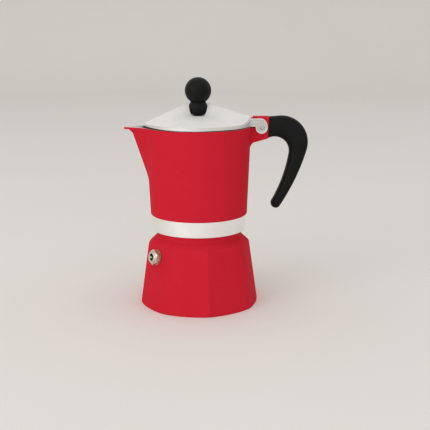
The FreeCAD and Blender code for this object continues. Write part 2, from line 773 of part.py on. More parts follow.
groove.setExpression("Pitch", linked("thread_lead"))
groove.setExpression("Turns", linked("thread_turns + valve_turn / 360 + 1.1"))
drilled(collector, "PinHole", "XZ_Plane", "pin_reach", "pin_height",
        "pin_radius + running_gap / 2", "4 * lug_width")
drilled(collector, "TongueHole", "XY_Plane", "handle_screw_reach", "0",
        "screw_radius + running_gap", "tongue_top - tongue_foot + 4",
        "(tongue_top + tongue_foot) / 2")

# Column that the coffee rises through, pressed into the dome
column = new_body("column")
turned(column, "Tube", [
    ("column_bore", "dome_top"),
    ("column_spigot", "dome_top"),
    ("column_spigot", "crown_top + seat_gap"),
    ("column_flange", "crown_top + seat_gap"),
    ("column_flange", "column_foot"),
    ("column_foot_radius", "column_foot"),
    ("column_top_radius", "column_top - column_top_radius"),
    ("0", "column_top", "axis"),
    ("0", "column_top - column_top_radius"),
    ("column_bore", "column_top - column_top_radius"),
])
padded(column, "Outlets", "XZ_Plane", [
    ("-outlet_width / 2", "column_top - column_top_radius - outlet_height"),
    ("outlet_width / 2", "column_top - column_top_radius - outlet_height"),
    ("outlet_width / 2", "column_top - column_top_radius"),
    ("-outlet_width / 2", "column_top - column_top_radius"),
], "4 * column_foot_radius", cut=True)

# Handle: hooked grip with a socket for the tongue
handle = new_body("handle")
padded(handle, "Grip", "XZ_Plane", [
    ("handle_root", "handle_crown - 0.4"),
    ("handle_crown_reach", "handle_crown"),
    ("handle_bow_reach", "handle_bow_height", "tangent"),
    ("grip_foot_reach", "grip_foot", "tangent"),
    ("grip_foot_reach - grip_tip_run", "grip_foot + grip_tip_rise", "tangent"),
    ("handle_inner_reach", "handle_inner_height", "tangent"),
    ("handle_throat_reach", "handle_throat", "tangent"),
    ("handle_root", "handle_throat - 0.7", "tangent"),
], "lug_width")
half_width = number("lug_half_width")
root_plane = number("handle_root")


# Picks the long edges of the grip's two flat sides, not those of its root
def grip_edge(edge):
    points = edge.discretize(5)
    flat = all(abs(abs(point.y) - half_width) < 0.01 for point in points)
    return flat and max(point.x for point in points) > root_plane + 0.1


rounded(handle, "GripRound", "handle_round", grip_edge)
padded(handle, "Socket", "XZ_Plane", [
    ("handle_root - 2", "tongue_foot - fit_gap"),
    ("tongue_end + fit_gap", "tongue_foot - fit_gap"),
    ("tongue_end + fit_gap", "tongue_top + fit_gap"),
    ("handle_root - 2", "tongue_top + fit_gap"),
], "2 * tongue_half_width + 2 * fit_gap", cut=True)
drilled(handle, "ScrewHole", "XY_Plane", "handle_screw_reach", "0",
        "screw_radius + running_gap", "8", "tongue_foot")
drilled(handle, "ScrewRecess", "XY_Plane", "handle_screw_reach", "0",
        "screw_head_radius + fit_gap", "8", "handle_screw_seat - 4")


# Pan head screw standing on its head, crossed by a driver slot
def slotted_screw(label, x, seat, length):
    screw = new_body(label)
    turned(screw, "Stock", [
        ("0", "-screw_head_height"),
        ("screw_head_radius - 0.6", "-screw_head_height"),
        ("screw_head_radius", "-screw_head_height + 0.6"),
        ("screw_head_radius", "0"),
        ("screw_radius", "0"),
        ("screw_radius", f"{length} - 0.5"),
        ("screw_radius - 0.5", length),
        ("0", length),
    ])
    padded(screw, "Slot", "XZ_Plane", [
        ("-screw_head_radius - 1", "-screw_head_height - 1"),
        ("screw_head_radius + 1", "-screw_head_height - 1"),
        ("screw_head_radius + 1", "-screw_head_height + 0.9"),
        ("-screw_head_radius - 1", "-screw_head_height + 0.9"),
    ], "0.8", cut=True)
    screw.setExpression("Placement.Base.x", linked(x))
    screw.setExpression("Placement.Base.z", linked(seat))
    return screw


handle_screw = slotted_screw(
    "handle_screw", "handle_screw_reach", "handle_screw_seat - seat_gap", "handle_screw_length")

# Hinge pin through the lug and both ears of the lid
hinge_pin = new_body("hinge_pin")
turned(hinge_pin, "Pin", [
    ("0", "-ear_outer - 0.4"),
    ("pin_radius - 0.4", "-ear_outer - 0.4"),
    ("pin_radius", "-ear_outer"),
    ("pin_radius", "ear_outer"),
    ("pin_radius - 0.4", "ear_outer + 0.4"),
    ("0", "ear_outer + 0.4"),
], plane="XY_Plane")
hinge_pin.setExpression("Placement.Base.x", linked("pin_reach"))
hinge_pin.setExpression("Placement.Base.z", linked("pin_height"))

# Lid: straight lines from a waved rim to a saddle round the knob
lid_radius = number("lid_radius")
saddle_radius = number("saddle_radius")
lid_foot = number("lid_foot")
lid_nose = number("lid_nose")


def lid_height(radius, turn):
    rim = number("lid_rim") + number("lid_hinge_rise") * max(math.cos(turn), 0) ** 6
    saddle = number("saddle_height + saddle_edge") + number("saddle_rise") * math.cos(turn) ** 6
    share = (radius - saddle_radius) / (lid_radius - saddle_radius)
    return saddle + (rim - saddle) * share


# Ring of the lid's surface, drawn out a little towards the spout
def lid_ring(radius, drop):
    share = (radius - saddle_radius) / (lid_radius - saddle_radius)
    points = []
    for step in range(48):
        turn = 2 * math.pi * step / 48
        reach = radius + lid_nose * share * max(-math.cos(turn), 0) ** 8
        height = lid_height(radius, turn) - drop
        points.append(Vector(reach * math.cos(turn), reach * math.sin(turn), height))
    curve = Part.BSplineCurve()
    curve.interpolate(points, PeriodicFlag=True)
    return curve.toShape()


# Everything below the lid's surface between two radii, down to its foot
def under_lid(inner, outer, drop, foot):
    surface = Part.makeRuledSurface(lid_ring(inner, drop), lid_ring(outer, drop))
    deep = surface.extrude(Vector(0, 0, -40))
    reach = 2 * outer
    return deep.cut(Part.makeBox(2 * reach, 2 * reach, reach, Vector(-reach, -reach, foot - reach)))


hub_radius = number("hub_radius")
hollow_radius = lid_radius - number("lid_rim_width")
saddle_height = number("saddle_height")
lid_shape = under_lid(saddle_radius * 0.5, lid_radius, 0, lid_foot)
lid_shape = lid_shape.fuse(Part.makeCylinder(
    saddle_radius * 0.75, saddle_height - lid_foot, Vector(0, 0, lid_foot)))
lid_shape = lid_shape.cut(Part.makeCylinder(saddle_radius, 40, Vector(0, 0, saddle_height)))
lid_shape = lid_shape.cut(under_lid(hub_radius, hollow_radius, number("lid_wall"), lid_foot - 1))
lid_shape = lid_shape.cut(Part.makeCylinder(
    hub_radius + 0.4, number("hub_foot") - lid_foot + 1, Vector(0, 0, lid_foot - 1)))

pin = Vector(number("pin_reach"), 0, number("pin_height"))
boss = number("ear_boss_radius")
ear_top = number("ear_top")
ear_root = number("ear_root")
corner = boss * 0.9
ear_points = [
    Vector(ear_root, 0, lid_foot),
    Vector(pin.x - boss, 0, lid_foot),
    Vector(pin.x - boss, 0, pin.z),
    Vector(pin.x + boss, 0, pin.z),
    Vector(pin.x + boss, 0, ear_top - corner),
    Vector(pin.x + boss - corner, 0, ear_top),
    Vector(ear_root, 0, ear_top),
]
corner_middle = Vector(
    pin.x + boss - corner * (1 - math.sqrt(0.5)), 0, ear_top - corner * (1 - math.sqrt(0.5)))
ear_edges = [Part.makeLine(ear_points[i], ear_points[i + 1]) for i in (0, 1, 3, 5)]
ear_edges.append(Part.Arc(ear_points[2], pin - Vector(0, 0, boss), ear_points[3]).toShape())
ear_edges.append(Part.Arc(ear_points[4], corner_middle, ear_points[5]).toShape())
ear_edges.append(Part.makeLine(ear_points[6], ear_points[0]))
ear_face = Part.Face(Part.Wire(Part.__sortEdges__(ear_edges)))
ear_inner = number("ear_inner")
ear_thickness = number("ear_thickness")
for near in (ear_inner, -ear_inner - ear_thickness):
    ear = ear_face.extrude(Vector(0, ear_thickness, 0))
    ear.translate(Vector(0, near, 0))
    lid_shape = lid_shape.fuse(ear)
across = Vector(0, 1, 0)
lid_shape = lid_shape.cut(Part.makeCylinder(
    number("lug_swing"), 2 * ear_inner, pin - across * ear_inner, across))
lid_shape = lid_shape.cut(Part.makeCylinder(
    number("pin_radius + running_gap"), 40, pin - across * 20, across))
lid_shape = lid_shape.cut(Part.makeCylinder(
    number("screw_radius + fit_gap"), 40, Vector(0, 0, lid_foot)))
lid = doc.addObject("Part::Feature", "Lid")
lid.Label = "lid"
lid.Shape = lid_shape.removeSplitter()

# Knob of two balls, held from below by a screw and washer
knob = new_body("knob")
turned(knob, "Balls", [
    ("0", "knob_foot"),
    ("knob_foot_radius", "knob_foot"),
    ("knob_waist_radius", "knob_waist_foot", "axis"),
    ("knob_waist_radius", "knob_waist_top"),
    ("0", "knob_top", "axis"),
])
drilled(knob, "ScrewHole", "XY_Plane", "0", "0",
        "screw_radius + running_gap", "2 * knob_screw_length", "knob_foot")
knob_screw = slotted_screw("knob_screw", "0", "knob_screw_seat", "knob_screw_length")
knob_washer = new_body("knob_washer")
turned(knob_washer, "Ring", [
    ("screw_radius + fit_gap", "knob_washer_foot"),
    ("knob_washer_radius", "knob_washer_foot"),
    ("knob_washer_radius", "knob_washer_foot + knob_washer_thickness"),
    ("screw_radius + fit_gap", "knob_washer_foot + knob_washer_thickness"),
])

doc.recompute()
pieces = [
    boiler, valve_washer, valve_body, valve_plunger, valve_cap, valve_spring,
    funnel_cup, funnel_stem, funnel_plate, gasket, filter_plate,
    collector, column, handle, handle_screw, hinge_pin,
    lid, knob, knob_screw, knob_washer,
]
broken = [entry.Name for entry in doc.Objects if "Invalid" in entry.State or "Error" in entry.State]
if broken:
    raise RuntimeError("features that did not build: " + ", ".join(broken))
os.makedirs("parts", exist_ok=True)
for piece in pieces:
    if piece.Shape.isNull() or not piece.Shape.isValid():
        raise RuntimeError("bad shape: " + piece.Label)
    if len(piece.Shape.Solids) != 1:
        raise RuntimeError("not one solid: " + piece.Label)
    piece.Shape.exportStep(f"parts/{piece.Label}.step")
    box = piece.Shape.BoundBox
    print(f"{piece.Label}: volume {piece.Shape.Volume:.1f}, x {box.XMin:.2f} to {box.XMax:.2f}, "
          f"y {box.YMin:.2f} to {box.YMax:.2f}, z {box.ZMin:.2f} to {box.ZMax:.2f}")
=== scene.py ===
import math
import bpy
import bmesh
import numpy as np
from mathutils import Matrix, Vector


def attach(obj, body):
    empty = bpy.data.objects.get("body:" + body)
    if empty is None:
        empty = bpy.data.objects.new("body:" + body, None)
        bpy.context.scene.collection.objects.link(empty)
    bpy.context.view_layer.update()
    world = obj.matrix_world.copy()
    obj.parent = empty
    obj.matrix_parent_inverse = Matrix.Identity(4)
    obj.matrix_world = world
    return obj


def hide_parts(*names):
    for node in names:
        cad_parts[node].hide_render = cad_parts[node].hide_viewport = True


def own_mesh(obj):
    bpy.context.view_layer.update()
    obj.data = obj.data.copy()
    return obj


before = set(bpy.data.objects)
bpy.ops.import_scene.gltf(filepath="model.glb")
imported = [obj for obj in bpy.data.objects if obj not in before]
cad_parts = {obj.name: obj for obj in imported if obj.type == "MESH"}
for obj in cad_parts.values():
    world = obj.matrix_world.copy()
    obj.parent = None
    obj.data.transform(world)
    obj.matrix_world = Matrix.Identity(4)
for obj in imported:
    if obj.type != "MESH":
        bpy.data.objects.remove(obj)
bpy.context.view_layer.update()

scene = bpy.context.scene
mm = 0.001
noiseLow, noiseHigh = 0.3, 0.7  # most values of a noise lie between these


# sRGB hex text to the linear colour that the shader sockets take
def linearColour(hexText):
    parts = np.array([int(hexText[i:i + 2], 16) for i in (1, 3, 5)]) / 255
    linear = np.where(parts <= 0.04045, parts / 12.92, ((parts + 0.055) / 1.055) ** 2.4)
    return (*linear.tolist(), 1.0)


# Adds one node: settings are its own properties, inputs are values or (node, socket) links
def addNode(tree, kind, settings=None, inputs=None):
    node = tree.nodes.new(kind)
    for key, value in (settings or {}).items():
        setattr(node, key, value)
    for key, value in (inputs or {}).items():
        if isinstance(value, tuple) and len(value) == 2 and hasattr(value[0], "outputs"):
            tree.links.new(value[0].outputs[value[1]], node.inputs[key])
        else:
            node.inputs[key].default_value = value
    return node


# Noise over the object's own coordinates, its grain in mm
def addNoise(tree, place, grain, detail, roughness=0.5):
    return addNode(tree, "ShaderNodeTexNoise", inputs={
        "Vector": (place, "Object"), "Scale": 1 / (grain * mm), "Detail": detail, "Roughness": roughness})


# Colour that drifts between two hex tones over patches of a given size in mm
def mottle(tree, surface, place, patch, toneA, toneB):
    noise = addNoise(tree, place, patch, 4.0, 0.55)
    ramp = addNode(tree, "ShaderNodeValToRGB", inputs={"Fac": (noise, "Fac")})
    stops = ramp.color_ramp.elements
    stops[0].position, stops[1].position = noiseLow, noiseHigh
    stops[0].color, stops[1].color = linearColour(toneA), linearColour(toneB)
    tree.links.new(ramp.outputs["Color"], surface.inputs["Base Color"])


# Roughness between two values from a noise of a given grain in mm
def roughen(tree, surface, place, grain, low, high):
    noise = addNoise(tree, place, grain, 3.0)
    spread = addNode(tree, "ShaderNodeMapRange", inputs={
        "Value": (noise, "Fac"), "From Min": noiseLow, "From Max": noiseHigh, "To Min": low, "To Max": high})
    tree.links.new(spread.outputs["Result"], surface.inputs["Roughness"])


# Bump from a source node, its height in mm
def addBump(tree, surface, source, height):
    bump = addNode(tree, "ShaderNodeBump", inputs={
        "Height": (source, "Fac"), "Distance": height * mm, "Strength": 1.0})
    tree.links.new(bump.outputs["Normal"], surface.inputs["Normal"])


# Rings at a spacing in mm along the upright axis: a wave of scale s repeats every 2 pi / (20 s)
def addRings(tree, place, spacing):
    return addNode(tree, "ShaderNodeTexWave", {
        "wave_type": "BANDS", "bands_direction": "Z", "wave_profile": "SIN"}, {
        "Vector": (place, "Object"), "Scale": 2 * math.pi / 20 / (spacing * mm)})


# A material: tones are patch size and two hex colours, rough is grain and two values, and
# grain or rings are the spacing and the height of a bump, all lengths in mm
def newMaterial(name, shader, tones, rough, grain=None, rings=None):
    material = bpy.data.materials.new(name)
    material.use_nodes = True
    tree = material.node_tree
    tree.nodes.clear()
    surface = addNode(tree, "ShaderNodeBsdfPrincipled", inputs=shader)
    addNode(tree, "ShaderNodeOutputMaterial", inputs={"Surface": (surface, "BSDF")})
    place = addNode(tree, "ShaderNodeTexCoord")
    mottle(tree, surface, place, *tones)
    roughen(tree, surface, place, *rough)
    if grain:
        addBump(tree, surface, addNoise(tree, place, grain[0], 2.0), grain[1])
    if rings:
        addBump(tree, surface, addRings(tree, place, rings[0]), rings[1])
    return material


metal = {"Metallic": 1.0}

# Red enamel sprayed over cast aluminium: satin, with a faint orange peel
redEnamel = newMaterial(
    "redEnamel", {"Specular IOR Level": 0.012},
    tones=(26, "#CA2333", "#CD2535"), rough=(6, 0.52, 0.6), grain=(1.4, 0.008))

# Satin cast aluminium, blasted then tumbled: pale, even and slightly warm
satinAluminium = newMaterial(
    "satinAluminium", metal,
    tones=(9, "#E4E4E4", "#E8E8E8"), rough=(1.2, 0.82, 0.9), grain=(0.5, 0.008))

# Turned aluminium: fine rings left by the tool, 0.6 mm apart, that blur the light sideways
turnedAluminium = newMaterial(
    "turnedAluminium", metal,
    tones=(30, "#F5F3F1", "#FAF8F7"), rough=(9, 0.34, 0.4), rings=(0.6, 0.002))

# Aluminium of the lid's rim, a shade greyer than the satin top so that its edge shows: painted shade for the
# rim's side face. The ears' border takes it too, and the jug takes it, paler than its cast inside, for the
# rim's top and the pouring lip: painted light there
skimmedAluminiumPaintedShading = newMaterial(
    "skimmedAluminiumPaintedShading", metal,
    tones=(12, "#D2D2D0", "#D9D9D7"), rough=(3, 0.52, 0.62), grain=(0.5, 0.006))

# Bare cast aluminium inside: duller, with a slight cast grain
castAluminium = newMaterial(
    "castAluminium", metal,
    tones=(7, "#B6B6B4", "#C3C3C1"), rough=(2.5, 0.4, 0.55), grain=(0.9, 0.03))

# Pressed aluminium sheet of the funnel and the plates: smooth with faint scuffs
sheetAluminium = newMaterial(
    "sheetAluminium", metal,
    tones=(11, "#CBCBC9", "#DADAD8"), rough=(4, 0.24, 0.4), grain=(0.6, 0.006))

# Black phenolic moulding: matte with a very fine grain
blackPhenolic = newMaterial(
    "blackPhenolic", {"Specular IOR Level": 0.1},
    tones=(8, "#111212", "#161717"), rough=(2, 0.42, 0.52), grain=(0.7, 0.014))

# Nickel-washed brass of the valve: turned, pale and a little warm
washedBrass = newMaterial(
    "washedBrass", metal,
    tones=(4, "#C9C1B2", "#DAD3C6"), rough=(1.5, 0.28, 0.42), grain=(0.4, 0.01))

# Plain bright steel of pins, screws and spring
brightSteel = newMaterial(
    "brightSteel", metal,
    tones=(3, "#A9A9A8", "#BCBCBB"), rough=(1, 0.24, 0.36), grain=(0.3, 0.006))

# Steel of the ring that closes the valve's bore, coloured nearly black: painted shade that stands for the
# dark of the hole
paintedShadeSteel = newMaterial(
    "paintedShadeSteel", metal,
    tones=(2, "#1B1A18", "#262420"), rough=(1, 0.45, 0.6), grain=(0.3, 0.006))

# Off-white seal rubber: soft and dusty
sealRubber = newMaterial(
    "sealRubber", {},
    tones=(5, "#DCD9CF", "#E6E3DA"), rough=(2, 0.62, 0.78), grain=(0.5, 0.02))
print("materials made")


# Mesh from points in mm, the corners of all faces in one run and the corner count of each face
def meshPiece(name, points, corners, sizes):
    mesh = bpy.data.meshes.new(name)
    mesh.vertices.add(len(points))
    mesh.vertices.foreach_set("co", (points * mm).ravel())
    mesh.loops.add(len(corners))
    mesh.loops.foreach_set("vertex_index", corners.astype(np.int32))
    mesh.polygons.add(len(sizes))
    mesh.polygons.foreach_set("loop_start", (np.cumsum(sizes) - sizes).astype(np.int32))
    mesh.update(calc_edges=True)
    mesh.validate()
    piece = bpy.data.objects.new(name, mesh)
    scene.collection.objects.link(piece)
    return piece


# Mesh from a grid of points in mm: columns run round, rows run along the profile.
# A pole closes an end with a fan; wrapRows joins the last row to the first.
def gridPiece(name, rows, wrapRows=False, poleStart=None, poleEnd=None, wrapColumns=True):
    count, around = rows.shape[:2]
    points = rows.reshape(-1, 3)
    index = np.arange(count * around).reshape(count, around)
    if wrapRows:
        index = np.vstack([index, index[:1]])
    if wrapColumns:
        index = np.hstack([index, index[:, :1]])
    quads = np.stack([index[:-1, :-1], index[:-1, 1:], index[1:, 1:], index[1:, :-1]], -1).reshape(-1, 4)
    rowOfFace = np.repeat(np.arange(index.shape[0] - 1), index.shape[1] - 1)
    fans = []
    for pole, row, rowIndex in ((poleStart, index[0], 0), (poleEnd, index[-1], count - 1)):
        if pole is not None:
            points = np.vstack([points, np.reshape(pole, (1, 3))])
            apex = np.full(row.size - 1, len(points) - 1)
            fan = np.stack([apex, row[1:], row[:-1]], -1)
            fans.append(fan if rowIndex == 0 else fan[:, ::-1])
            rowOfFace = np.concatenate([rowOfFace, np.full(row.size - 1, rowIndex)])
    corners = np.concatenate([quads.ravel()] + [fan.ravel() for fan in fans])
    sizes = np.concatenate([np.full(len(quads), 4)] + [np.full(len(fan), 3) for fan in fans])
    return meshPiece(name, points, corners, sizes), rowOfFace


# Doubles merged and all faces turned outward
def cleanMesh(piece):
    shell = bmesh.new()
    shell.from_mesh(piece.data)
    bmesh.ops.remove_doubles(shell, verts=shell.verts[:], dist=1e-7)
    bmesh.ops.recalc_face_normals(shell, faces=shell.faces[:])
    shell.to_mesh(piece.data)
    shell.free()


# Materials, a clean mesh, smooth faces, and edges kept sharp above an angle in degrees
def finishMesh(piece, materials, sharp, faceMaterial=None):
    for material in materials:
        piece.data.materials.append(material)
    if faceMaterial is not None:
        piece.data.polygons.foreach_set("material_index", faceMaterial.astype(np.int32))
    cleanMesh(piece)
    piece.data.shade_smooth()
    piece.data.set_sharp_from_angle(angle=math.radians(sharp))


# Profile through corners (radius, height, rounding, zone): each corner becomes an arc
# tangent to both sides, and straight runs are cut into steps of about one step length
def profile(corners, step, arcPoints=7):
    ends = np.array([corner[:2] for corner in corners], float)
    path, zones = [], []
    last = len(corners) - 1
    for i, (_, _, rounding, zone) in enumerate(corners):
        here = ends[i]
        if 0 < i < last and rounding > 0:
            back, ahead = ends[i - 1] - here, ends[i + 1] - here
            back, ahead = back / np.hypot(*back), ahead / np.hypot(*ahead)
            half = math.acos(np.clip(back @ ahead, -1, 1)) / 2
            reach = rounding / math.tan(half)
            centre = here + (back + ahead) / np.hypot(*(back + ahead)) * rounding / math.sin(half)
            first, final = here + back * reach - centre, here + ahead * reach - centre
            share = np.linspace(0, 1, arcPoints)[:, None]
            swing = math.pi - 2 * half
            arc = (np.sin((1 - share) * swing) * first + np.sin(share * swing) * final) / math.sin(swing)
            path.append(centre + arc)
        else:
            path.append(here[None])
        zones.append(np.full(len(path[-1]), zone))
    runs, marks = [], []
    for i in range(last):
        start, finish = path[i][-1], path[i + 1][0]
        cuts = max(int(np.hypot(*(finish - start)) / step), 1)
        share = np.linspace(0, 1, cuts + 1)[1:-1, None]
        runs += [path[i], start + (finish - start) * share]
        marks += [zones[i], np.full(cuts - 1, corners[i][3])]
    return np.vstack(runs + path[-1:]), np.concatenate(marks + zones[-1:])


# Even turns of a whole circle
def circle(columns):
    return np.linspace(0, 2 * np.pi, columns, endpoint=False)


# Points on circles: radius and height arrays spun through the given turns
def spin(radius, height, turns):
    return np.stack(np.broadcast_arrays(radius * np.cos(turns), radius * np.sin(turns), height), -1)


# Smaller of two, rounded over about the width where they meet
def softMin(a, b, width):
    return (a + b - np.sqrt((a - b) ** 2 + width ** 2)) / 2


# Larger of two, rounded only where they differ by less than the width
def softMax(a, b, width):
    return np.maximum(a, b) + np.maximum(width - np.abs(a - b), 0) ** 2 / (4 * width)


# Thread: a rib on the boiler's neck and a wider, deeper groove in the jug's skirt
thread = {
    "foot": 57.2, "lead": 3.0, "start": 211.0, "turns": 1.2, "root": 1.7, "crest": 0.8, "depth": 0.85,
    "gap": 0.25, "grooveDepth": 0.9, "grooveStart": -720, "runOut": 36,
}


# Share of the thread's depth: full on the crest, falling straight to nothing half a root away
# from the nearest turn of a right-hand helix, which lasts from one angle to another
def threadShare(height, turns, first, last, gap=0.0):
    angle = np.degrees(turns) % 360
    rise = height - thread["foot"] - thread["lead"] * (angle - thread["start"]) / 360
    turn = np.round(rise / thread["lead"])
    reached = angle + 360 * turn
    away = np.abs(rise - thread["lead"] * turn)
    flank = (thread["root"] / 2 + gap - away) / (thread["root"] - thread["crest"]) * 2
    return np.where((reached >= first) & (reached <= last), np.clip(flank, 0, 1), 0)


# Boiler: cone cut by bowed facets, each a wider cone about an axis set back from the middle,
# softened where they meet and shouldered to the neck
boiler = {
    "baseRadius": 44.7, "baseRound": 1.2, "shoulderRadius": 37.95, "shoulderHeight": 45.2,
    "shoulderRound": 3.0, "neckRadius": 31.3, "neckFoot": 51.2, "neckRound": 0.8, "height": 62.0,
    "threadFoot": 56.2, "threadTop": 61.6, "threadStep": 0.15, "threadRows": 35,
    "facets": 8, "facetFoot": 43.2, "facetTop": 37.0, "facetBow": 30.0, "facetTurn": 211.0,
    "facetEnd": 50.7, "facetFrom": 30.0, "edgeSoft": 0.45, "flatten": 0.7, "flattenTop": 48.2,
    "mouth": 27.2, "mouthRound": 0.3, "boreRound": 1.0, "wall": 5.1, "shoulderExtra": 0.6,
    "innerRound": 2.0, "floor": 3.0, "floorRound": 3.0, "middle": 0.5, "step": 1.1, "columnsPerFacet": 40,
}


def makeBoiler(b):
    enamel, cast = 0, 1
    path, zones = profile([
        (b["middle"], 0.0, 0, enamel),
        (b["baseRadius"], 0.0, b["baseRound"], enamel),
        (b["shoulderRadius"], b["shoulderHeight"], b["shoulderRound"], enamel),
        (b["neckRadius"], b["neckFoot"], b["neckRound"], enamel),
        (b["neckRadius"], b["threadFoot"], 0, cast),
        (b["neckRadius"], b["height"], b["mouthRound"], cast),
        (b["mouth"], b["height"], b["mouthRound"], cast),
        (b["mouth"], b["neckFoot"], b["boreRound"], cast),
        (b["shoulderRadius"] - b["wall"] - b["shoulderExtra"], b["shoulderHeight"], b["innerRound"], cast),
        (b["baseRadius"] - b["wall"], b["floor"], b["floorRound"], cast),
        (b["middle"], b["floor"], 0, cast)], b["step"])
    # The threaded run of the neck is cut finer than the rest
    rim = int(np.argmax(path[:, 1] >= b["height"] - 1e-6))
    fine = b["threadFoot"] + b["threadStep"] * np.arange(1, b["threadRows"] + 1)
    neckRun = (np.arange(len(path)) < rim) & (path[:, 1] > b["threadFoot"]) & (path[:, 1] < b["threadTop"])
    first = int(np.argmax(neckRun))
    after = first + int(neckRun.sum())
    path = np.vstack([path[:first], np.stack([np.full(fine.size, b["neckRadius"]), fine], -1), path[after:]])
    zones = np.concatenate([zones[:first], np.full(fine.size, cast), zones[after:]])
    row = np.arange(len(path))[:, None]
    # Facets: the distance from the middle to a circle about an axis set back by the bow
    turns = circle(b["facets"] * b["columnsPerFacet"]) + math.radians(b["facetTurn"])
    sector = 2 * np.pi / b["facets"]
    offFacet = (turns - math.radians(b["facetTurn"]) + sector / 2) % sector - sector / 2
    radius = np.repeat(path[:, :1], turns.size, 1)
    height = path[:, 1:2]
    lean = (b["facetFoot"] - b["facetTop"]) / b["shoulderHeight"]
    deep = b["facetFoot"] - lean * height + b["facetBow"]
    facet = np.sqrt(deep ** 2 - (b["facetBow"] * np.sin(offFacet)) ** 2) - b["facetBow"] * np.cos(offFacet)
    outside = row < np.argmax(path[:, 1] > b["facetEnd"])
    radius = np.where(outside & (radius > b["facetFrom"]), softMin(radius, facet, b["edgeSoft"]), radius)
    rib = threadShare(height, turns, thread["start"], thread["start"] + 360 * thread["turns"])
    neck = (row < np.argmax(zones == cast) + fine.size) & (height >= b["threadFoot"])
    radius = radius + np.where(neck, rib * thread["depth"], 0)
    rows = spin(radius, height, turns)
    piece, rowOfFace = gridPiece("boilerShell", rows, poleStart=(0, 0, 0), poleEnd=(0, 0, b["floor"]))
    finishMesh(piece, [redEnamel, castAluminium], sharp=40, faceMaterial=zones[rowOfFace])
    # On the facets the shading leans from the bowed surface toward the facet's own direction,
    # sideways only, and the same over the edge of the shoulder
    normals = np.zeros((len(piece.data.vertices), 3))
    piece.data.vertices.foreach_get("normal", normals.ravel())
    middle = turns - offFacet
    onGrid = rows[..., 0].size
    bowed = normals[:onGrid].reshape(rows.shape)
    level = np.hypot(bowed[..., 0], bowed[..., 1])
    facing = np.stack([np.cos(middle) * level, np.sin(middle) * level, bowed[..., 2]], -1)
    walls = (height[:, 0] > b["baseRound"]) & (height[:, 0] < b["flattenTop"]) & outside[:, 0]
    blend = bowed * (1 - b["flatten"]) + facing * b["flatten"]
    blend = blend / np.linalg.norm(blend, axis=-1, keepdims=True) * walls[:, None, None]
    normals[:] = 0
    normals[:onGrid] = blend.reshape(-1, 3)
    piece.data.normals_split_custom_set_from_vertices(normals.tolist())
    return piece


boilerShell = makeBoiler(boiler)
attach(boilerShell, "boiler")
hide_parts("boiler")
print("boiler made")

# Collector: jug, spout and lip as one polar surface, hollow inside, threaded skirt below
jug = {
    "skirtFoot": 55.8, "skirtBore": 31.6, "skirtEase": 0.3, "boreStep": 0.2,
    "bandFoot": 34.1, "bandTop": 34.6, "bandRound": 0.35, "bandStep": 1.2, "bandGap": 0.05,
    "foot": 67.2, "footRadius": 35.7, "footRound": 1.0, "footRise": 1.5, "footLean": 0.06, "footStep": 0.4,
    "topRadius": 38.5, "height": 131.7, "wall": 2.2, "rimRound": 0.35, "rimRows": 4,
    "outerFrom": 69.7, "outerStep": 1.5, "innerFrom": 126.5, "innerStep": 2.0,
    "seat": 66.1, "floor": 68.6, "floorRound": 1.5, "cavityFoot": 71.0, "cavityEase": 0.1,
    "domeRadius": 25.5, "domeRise": 5.4, "domeRound": 3.0, "crownRadius": 9.0, "crownRound": 2.0,
    "columnHole": 4.55, "floorStep": 2.0, "columns": 240,
}
# Limits are angles in degrees from the spout's middle; fans are angle and columns to each side
spout = {
    "start": 82.0, "foot": 88.0, "footReach": 34.9, "reach": 49.35, "slope": 1.0724, "tip": 2.5,
    "limit": 43, "blend": 1.6, "blendFoot": 84.0, "blendRise": 12.0, "leastBlend": 0.05,
    "innerTip": 0.8, "innerBlend": 0.8,
    "lipFoot": 127.3, "lipFootReach": 47.9, "lipReach": 52.6, "lipSlope": 0.75, "lipLimit": 40,
    "lipWall": 1.5, "lipBlend": 0.4, "innerLipBlend": 0.2, "lipRows": 10, "innerLipRows": 12,
    "innerLipRise": 0.8,
    "edge": 1.7, "edgeReach": 54.05, "edgeSlope": 0.6, "edgeLimit": 18, "edgeRows": 4, "widest": 80,
    "lipStart": 0.02, "edgeBelow": 0.05, "edgeAbove": 0.2, "tipFan": (9, 61), "beakFan": (60, 121),
}


# Angle away from the spout's middle
def fromSpout(turns):
    return np.abs(turns % (2 * np.pi) - np.pi)


# Distance from the axis to a wedge with a rounded tip, in the direction of each turn:
# a circle round the tip where it shows, and the straight flank elsewhere
def wedge(reach, tip, slope, turns):
    side = math.hypot(1, slope)
    sine, cosine = slope / side, 1 / side
    off = np.minimum(fromSpout(turns), np.radians(spout["widest"]))
    centre = reach - tip
    flank = (centre * sine + tip) / (np.cos(off) * sine + np.sin(off) * cosine)
    tipArc = centre * np.cos(off) + np.sqrt(np.maximum(tip ** 2 - (centre * np.sin(off)) ** 2, 0))
    atTip = np.tan(off) < tip * cosine / (centre + tip * sine)
    return np.where(atTip, tipArc, flank)


# Radius of the jug's cone: a straight line from foot to top
def jugCone(height, j):
    lean = (j["topRadius"] - j["footRadius"]) / (j["height"] - j["foot"])
    return j["footRadius"] + lean * (height - j["foot"])


# Reach of the beak's tip: a straight line from its foot to the rim
def spoutReach(height, s):
    share = (height - s["foot"]) / (jug["height"] - s["foot"])
    return s["footReach"] + (s["reach"] - s["footReach"]) * share


# Reach of the lip's tip: a flatter line over the last few mm
def lipReach(height, s):
    share = (height - s["lipFoot"]) / (jug["height"] - s["lipFoot"])
    return s["lipFootReach"] + (s["lipReach"] - s["lipFootReach"]) * share


